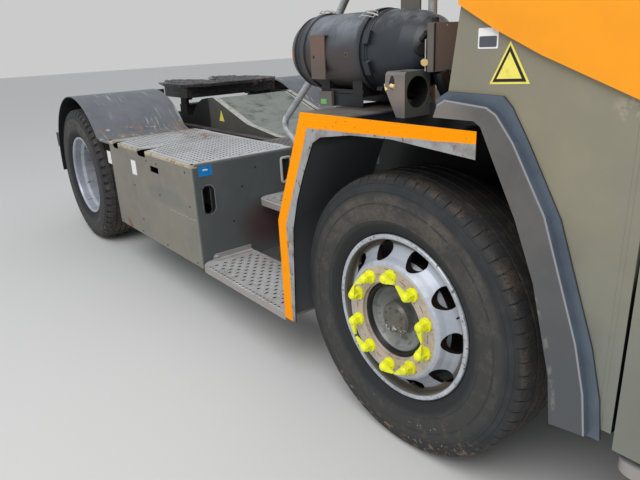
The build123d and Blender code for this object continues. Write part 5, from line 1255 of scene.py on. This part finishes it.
for k, (finish, size) in enumerate((("label_black", 0.068), ("label_yellow", 0.058))):
    outline = [(-1.275 - size * 0.66, 0.88), (-1.275 + size * 0.66, 0.88), (-1.275, 0.88 + size * 1.4)]
    label(f"boom_triangle_{k}", finish, outline, on_right(BOOM_SIDE - 0.0002 - 0.0007 * k), "boom")
print("blank labels", len(LABELS) + 5)

# %% Locker fittings
loop = tube([(-0.013, y, z) for y, z in rounded(-0.697, -0.632, 0.677, 0.814, 0.012, 4)], 0.0075, 10, True)
feet = [tube([(-0.0245, -0.664, z), (-0.012, -0.664, z)], 0.006, 8) for z in (0.682, 0.809)]
group("locker_handle_loop", "chassis", "pale_metal", loop, *feet)
# painted shade: the recess behind the grab handle is dark
label("locker_handle_recess", "hole_dark", rounded(-0.69, -0.64, 0.686, 0.805, 0.008), on_front(LOCKER_FRONT))
strip = [(-0.93, 0.3362), (-0.93, 0.364), (-1.15, 0.364), (-1.164, 0.354), (-1.168, 0.3362)]
ledge = [(-0.93, -0.0245), (-1.168, -0.0245), (-1.16, 0.006), (-0.93, 0.006)]
group("step_strip", "chassis", "step_plate", panel(strip, 0.004, on_front(LOCKER_FRONT)),
      panel(ledge, 0.004, lambda u, v, w: (v, u, 0.3354 + w)))
repeat("strip_bolt", [((-0.0208, -1.146, 0.351), AHEAD, sideways(1))], "chassis", "pale_metal", 0.007, 0.005,
       8, 0.8, 1.7)
HOLE_Z, HOLE_HALF, HOLE_ROUND = 0.667, 0.05, 0.0235
slot = [(y, z + copysign(HOLE_HALF, round(z - HOLE_Z, 9)))
        for y, z in oval(-1.162, HOLE_Z, HOLE_ROUND, HOLE_ROUND, 24)]
group("locker_hole_trim", "chassis", "rubber_black",
      tube([(-0.0246, y, z) for y, z in slot], 0.0032, 8, True))
print("locker fittings")

# %% [markdown]
# Air cleaner, housing and sheet box
#
# Wire latches hold the clamp rings of the air cleaner. Each is a bent wire loop over a small lever.
# The same loop is made once, then turned about the cleaner's axis. The sheet box in front carries a
# knob and a black fitting with a pale cap; the grey housing has two cream bits near its port.

# %% Small things round the air cleaner
CLEANER_Y, CLEANER_Z = -0.965, 1.377


def about_cleaner(turn, radius, x, across=0.0):
    """Place on the cleaner: a turn from the top towards the right, a radius, a place along it."""
    a = radians(turn)
    y = -sin(a) * radius - cos(a) * across
    z = cos(a) * radius - sin(a) * across
    return (x, CLEANER_Y + y, CLEANER_Z + z)


# radius, place along the cleaner, place across it
LATCH = ((0.142, 0.03, -0.014), (0.149, 0.01, -0.015), (0.151, -0.02, -0.013), (0.143, -0.04, -0.01),
         (0.143, -0.04, 0.01), (0.151, -0.02, 0.013), (0.149, 0.01, 0.015), (0.142, 0.03, 0.014))
LEVER = ((0.138, 0.04), (0.146, 0.022), (0.152, -0.006))
latches, levers = [], []
for x, turns in ((0.789, (2, 262)), (1.099, (34, 262))):
    for turn in turns:
        latches.append(tube([about_cleaner(turn, r, x + dx, c) for r, dx, c in LATCH], 0.0016, 8, True))
        levers.append(tube([about_cleaner(turn, r, x + dx) for r, dx in LEVER], 0.003, 8))
group("cleaner_wires", "chassis", "pale_metal", *latches, *levers)
grooves = []
for x in (0.733, 0.748, 1.128, 1.14):
    circle = [about_cleaner(k * 7.5, 0.1335 if x > 1 else 0.13, x) for k in range(48)]
    grooves.append(tube(circle, 0.0028 if x > 1 else 0.0035, 8, True))
group("cleaner_ribs", "chassis", "cleaner_plastic", *grooves)
repeat("plate_rivet", [((0.861, -1.1043, 1.366), sideways(-1), UP)], "chassis", "hole_dark", 0.0055, 0.002,
       10, 0.6)
group("saddle_skirt", "chassis", "rubber_black",
      panel(rounded(0.896, 1.076, 1.191, 1.232, 0.003, 2), 0.003, on_right(-1.0575)),
      panel(rounded(0.846, 1.08, 1.238, 1.252, 0.003, 2), 0.003, on_right(-1.0575)))
valve = [tube([(1.345, -1.05, 1.385), (1.378, -1.066, 1.385)], 0.026, 16),
         tube([(1.352, -1.078, 1.385), (1.378, -1.092, 1.385)], 0.017, 14),
         tube([(1.36, -1.075, 1.41), (1.385, -1.08, 1.43)], 0.01, 12)]
group("cleaner_fitting", "chassis", "rubber_black", *valve)
piece_of("pale_knob", *tube([(1.392, -1.0985, 1.347), (1.4, -1.1045, 1.347)], 0.0105, 16), "chassis",
         "cream_bit")
piece_of("knob_pin", *tube([(1.3985, -1.1, 1.322), (1.3985, -1.1, 1.412)], 0.0019, 8), "chassis",
         "pale_metal")
group("box_hoses", "chassis", "rubber_black",
      tube([(1.425, -1.06, 1.318), (1.43, -1.05, 1.28), (1.425, -1.01, 1.235), (1.41, -0.96, 1.205)], 0.024,
           14),
      tube([(1.455, -1.01, 1.33), (1.47, -1.0, 1.29), (1.46, -0.96, 1.24), (1.44, -0.9, 1.21)], 0.022, 14),
      tube([(1.4, -1.0, 1.318), (1.395, -0.99, 1.27), (1.4, -0.95, 1.215)], 0.02, 14))
repeat("box_screw", [((1.4282, -1.04, 1.448), AHEAD, UP)], "chassis", "pale_metal", 0.003, 0.001, 8, 0.7)
group("box_fold", "chassis", "rubber_black",
      panel(rounded(-1.099, -1.094, 1.322, 1.455, 0.001, 1), 0.003, on_front(1.4281)),
      panel(rounded(-0.955, -0.948, 1.32, 1.457, 0.001, 1), 0.01, on_front(1.4281)))
group("housing_bits", "chassis", "cream_bit",
      tube([(1.327, -1.1725, 1.284), (1.343, -1.1725, 1.281)], 0.0065, 12),
      tube([(1.296, -1.163, 1.286), (1.304, -1.168, 1.274), (1.31, -1.171, 1.268)], 0.006, 12))
# painted shade: the slot and the port of the housing are dark
label("housing_slot", "hole_dark", rounded(1.352, 1.374, -1.163, -1.146, 0.004), on_top(1.3252))
label("housing_port", "hole_dark", oval(1.332, 1.294, 0.0095, 0.0195, 20), on_right(-1.1722))
fan = []
for k in range(5):
    a = tau * k / 5 + 0.4
    fan.append(tube([(x, BORE_Y + reach * cos(turn), BORE_Z + reach * sin(turn))
                     for x, reach, turn in ((1.328, 0.012, a), (1.33, 0.043, a + 0.35))], 0.0055, 8))
fan.append(tube([(1.324, BORE_Y, BORE_Z), (1.336, BORE_Y, BORE_Z)], 0.014, 14))
group("housing_fan", "chassis", "rubber_black", *fan)
wire = [(1.26, -0.7, 1.72), (1.31, -0.78, 1.66), (1.37, -0.87, 1.575), (1.41, -0.93, 1.5),
        (1.416, -0.96, 1.459)]
piece_of("thin_wire", *tube(wire, 0.0035, 8), "chassis", "rubber_black")
print("latches", len(latches))

# %% [markdown]
# Cab trim
#
# Rubber strips frame the windows, a seal runs round each door, and the doors have handles. A frame
# is two outlines with the same number of points, joined by a flat ring. Wipers park low on the
# windscreen. Mirrors get a bright plate. None of this carries a name or a sign.

# %% Frames, handles and wipers
def frame_ring(outer, inner, thickness, place):
    """Flat ring between two outlines with the same number of points."""
    count = len(outer)
    points = [place(u, v, w) for w in (0.0, thickness) for loop in (outer, inner) for u, v in loop]
    faces = []
    for j in range(count):
        k = (j + 1) % count
        for a, b in ((0, 1), (1, 3), (3, 2), (2, 0)):
            faces.append((a * count + j, a * count + k, b * count + k, b * count + j))
    return points, faces


def frame_round(u0, u1, v0, v1, wide, thickness, place, radius=0.04):
    """A strip of one width along the edge of an opening with round corners."""
    h = wide / 2
    return frame_ring(rounded(u0 - h, u1 + h, v0 - h, v1 + h, radius + h),
                      rounded(u0 + h, u1 - h, v0 + h, v1 - h, radius - h / 2), thickness, place)


def glass_x(z):
    """Front face of the raked windscreen wall."""
    return 2.8 - 0.06 * (z - 1.42) / 1.46


screen = lambda u, v, w: (glass_x(v) + w - 0.001, u, v)
rear_face = lambda u, v, w: (1.62 - w + 0.001, u, v)
rubbers = [frame_round(-1.13, 1.13, 1.42, 2.62, 0.03, 0.007, screen),
           frame_round(-0.76, 0.76, 1.65, 2.48, 0.03, 0.007, rear_face)]
for word, side in SIDES:
    face = lambda u, v, w, side=side: (u, (1.2315 + w) * side, v)
    rubbers.append(frame_round(1.71, 2.022, 1.64, 2.5, 0.026, 0.006, face))
    door_frame = frame_round(2.19, 2.622, 1.43, 2.54, 0.026, 0.006, face)
    piece_of(f"door_rubber_{word}", *door_frame, f"door_{word}", "rubber_black")
    handle = tube([(2.19, 1.226 * side, 1.1), (2.19, 1.2445 * side, 1.11), (2.31, 1.2445 * side, 1.11),
                   (2.31, 1.226 * side, 1.1)], 0.0055, 10)
    dish = panel(rounded(2.175, 2.325, 1.07, 1.15, 0.02), 0.0015,
                 lambda u, v, w, side=side: (u, (1.2205 + w) * side, v))
    piece_of(f"door_handle_{word}", *handle, f"door_{word}", "rubber_black")
    piece_of(f"door_dish_{word}", *dish, f"door_{word}", "hole_dark")
group("window_rubbers", "cab", "rubber_black", *rubbers)
wipers = []
for y in (-0.62, 0.28):
    arm = [(glass_x(1.4) + 0.004, y, 1.395), (glass_x(1.43) + 0.03, y + 0.02, 1.43),
           (glass_x(1.5) + 0.024, y + 0.42, 1.49)]
    blade = [(glass_x(1.47) + 0.012, y + 0.06, 1.465), (glass_x(1.51) + 0.012, y + 0.78, 1.505)]
    wipers += [tube(arm, 0.007, 10), tube(blade, 0.006, 8)]
group("wipers", "cab", "rubber_black", *wipers)
mirror_plates = [panel(rounded(*sorted((1.052 * side, 1.208 * side)), 1.995, 2.345, 0.03), 0.002,
                       lambda u, v, w: (2.7978 - w, u, v)) for word, side in SIDES]
f = Worn("mirror_glass", (205, 210, 214), 0.04, 1.0)
f.fleck((150, 152, 150), 20, 0.5, 0.7, 0.2)
group("mirror_plates", "cab", "mirror_glass", *mirror_plates)
print("window frames", len(rubbers) + 2)

# %% Grille, lamps, roof and inside
GRILLE_ROWS = (0.64, 0.71, 0.78, 0.85, 0.92)
grille = []
for z in GRILLE_ROWS:
    slot = [(-0.618, z + 0.001), (0.618, z + 0.001), (0.618, z + 0.043), (-0.618, z + 0.043)]
    grille.append(panel(slot, 0.001, on_front(2.7822)))
    grille += [tube([(2.79, -0.619, z + up), (2.79, 0.619, z + up)], 0.003, 8) for up in (0.012, 0.028)]
group("grille_mesh", "cab", "rubber_black", *grille)
bars = [((2.7832, -0.6 + 0.04 * k, z + 0.022), AHEAD, UP) for k in range(31) for z in GRILLE_ROWS]
repeat("grille_posts", bars, "cab", "rubber_black", 0.0035, 0.013, sides=6, stretch=5.5)
bezels, bulbs = [], []
for word, side in SIDES:
    a, b = sorted((0.826 * side, 1.084 * side))
    bezels.append(frame_round(a, b, 0.306, 0.414, 0.016, 0.003, on_front(2.8462), 0.012))
    for y in (0.885, 1.015):
        circle = oval(y * side, 0.36, 0.042, 0.042, 28)
        bezels.append(tube([(2.8463, u, v) for u, v in circle], 0.0028, 8, True))
        bulbs.append(((2.8461, y * side, 0.36), AHEAD, UP))
group("lamp_bezels", "chassis", "rubber_black", *bezels)
repeat("lamp_bulbs", bulbs, "chassis", "pale_metal", 0.034, 0.003, sides=24, top=0.75)
ribs = [tube([(x, y, 2.925 + 0.018 * k) for x, y in oval(1.87, 0.0, 0.0585, 0.0585, 32)], 0.002, 6, True)
        for k in range(5)]
group("beacon_ribs", "cab", "beacon_amber", *ribs)
pedals = [panel(rounded(y - 0.035, y + 0.035, 1.0, 1.08, 0.01), 0.012,
                lambda u, v, w: (2.52 + (v - 1.0) * 0.6 + w, u, v * 0.9 + 0.05)) for y in (0.26, 0.4, 0.54)]
gauges = [panel(oval(0.38 + dy, 1.475, 0.045, 0.045, 20), 0.004,
                lambda u, v, w: (2.545 - w + (v - 1.475) * 0.25, u, v)) for dy in (-0.06, 0.06)]
hood = panel(rounded(0.24, 0.52, 1.405, 1.535, 0.04), 0.12, lambda u, v,
             w: (2.555 + w + (v - 1.475) * 0.25, u, v))
group("pedals", "cab", "pedal_grey", *pedals)
piece_of("gauge_hood", *hood, "cab", "rubber_black")
group("gauges", "cab", "label_dark", *gauges)
print("grille, lamps and cab inside")

# %% [markdown]
# Grease on the coupling plate
#
# The plate is smeared thick with black grease, which gives it an uneven top and a ragged edge. Flat
# lumps of different sizes, placed by a fixed random seed inside the plate's outline, make both.

# %% Grease lumps
LUMPS, PLATE_TOP, PLATE_HALF = 420, 1.1385, 0.43
chance = random.Random(11)
lumps = []
while len(lumps) < LUMPS:
    x, y = chance.uniform(-2.44, -1.6), chance.uniform(-PLATE_HALF, PLATE_HALF)
    if x > -1.73:
        half = PLATE_HALF - 0.19 * (x + 1.73) / 0.15
    else:
        half = PLATE_HALF - 0.12 * max(0.0, -2.07 - x) / 0.38
    throat = 0.075 + 0.12 * max(0.0, -2.15 - x) / 0.3
    if abs(y) < half - 0.02 and (abs(y) > throat or x > -1.87):
        lumps.append(((x, y, PLATE_TOP), (chance.uniform(-0.12, 0.12), chance.uniform(-0.12, 0.12), 1.0),
                      (chance.uniform(-1, 1), chance.uniform(-1, 1), 0.0)))
repeat("grease_lumps", lumps, "coupler", "grease", 0.03, 0.0075, sides=7, top=0.45, stretch=1.5, vary=0.6)
print("grease lumps", len(lumps))

# %% Check the box and finish
low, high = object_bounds()
print("visual model", [round(v, 3) for v in high - low], "m")
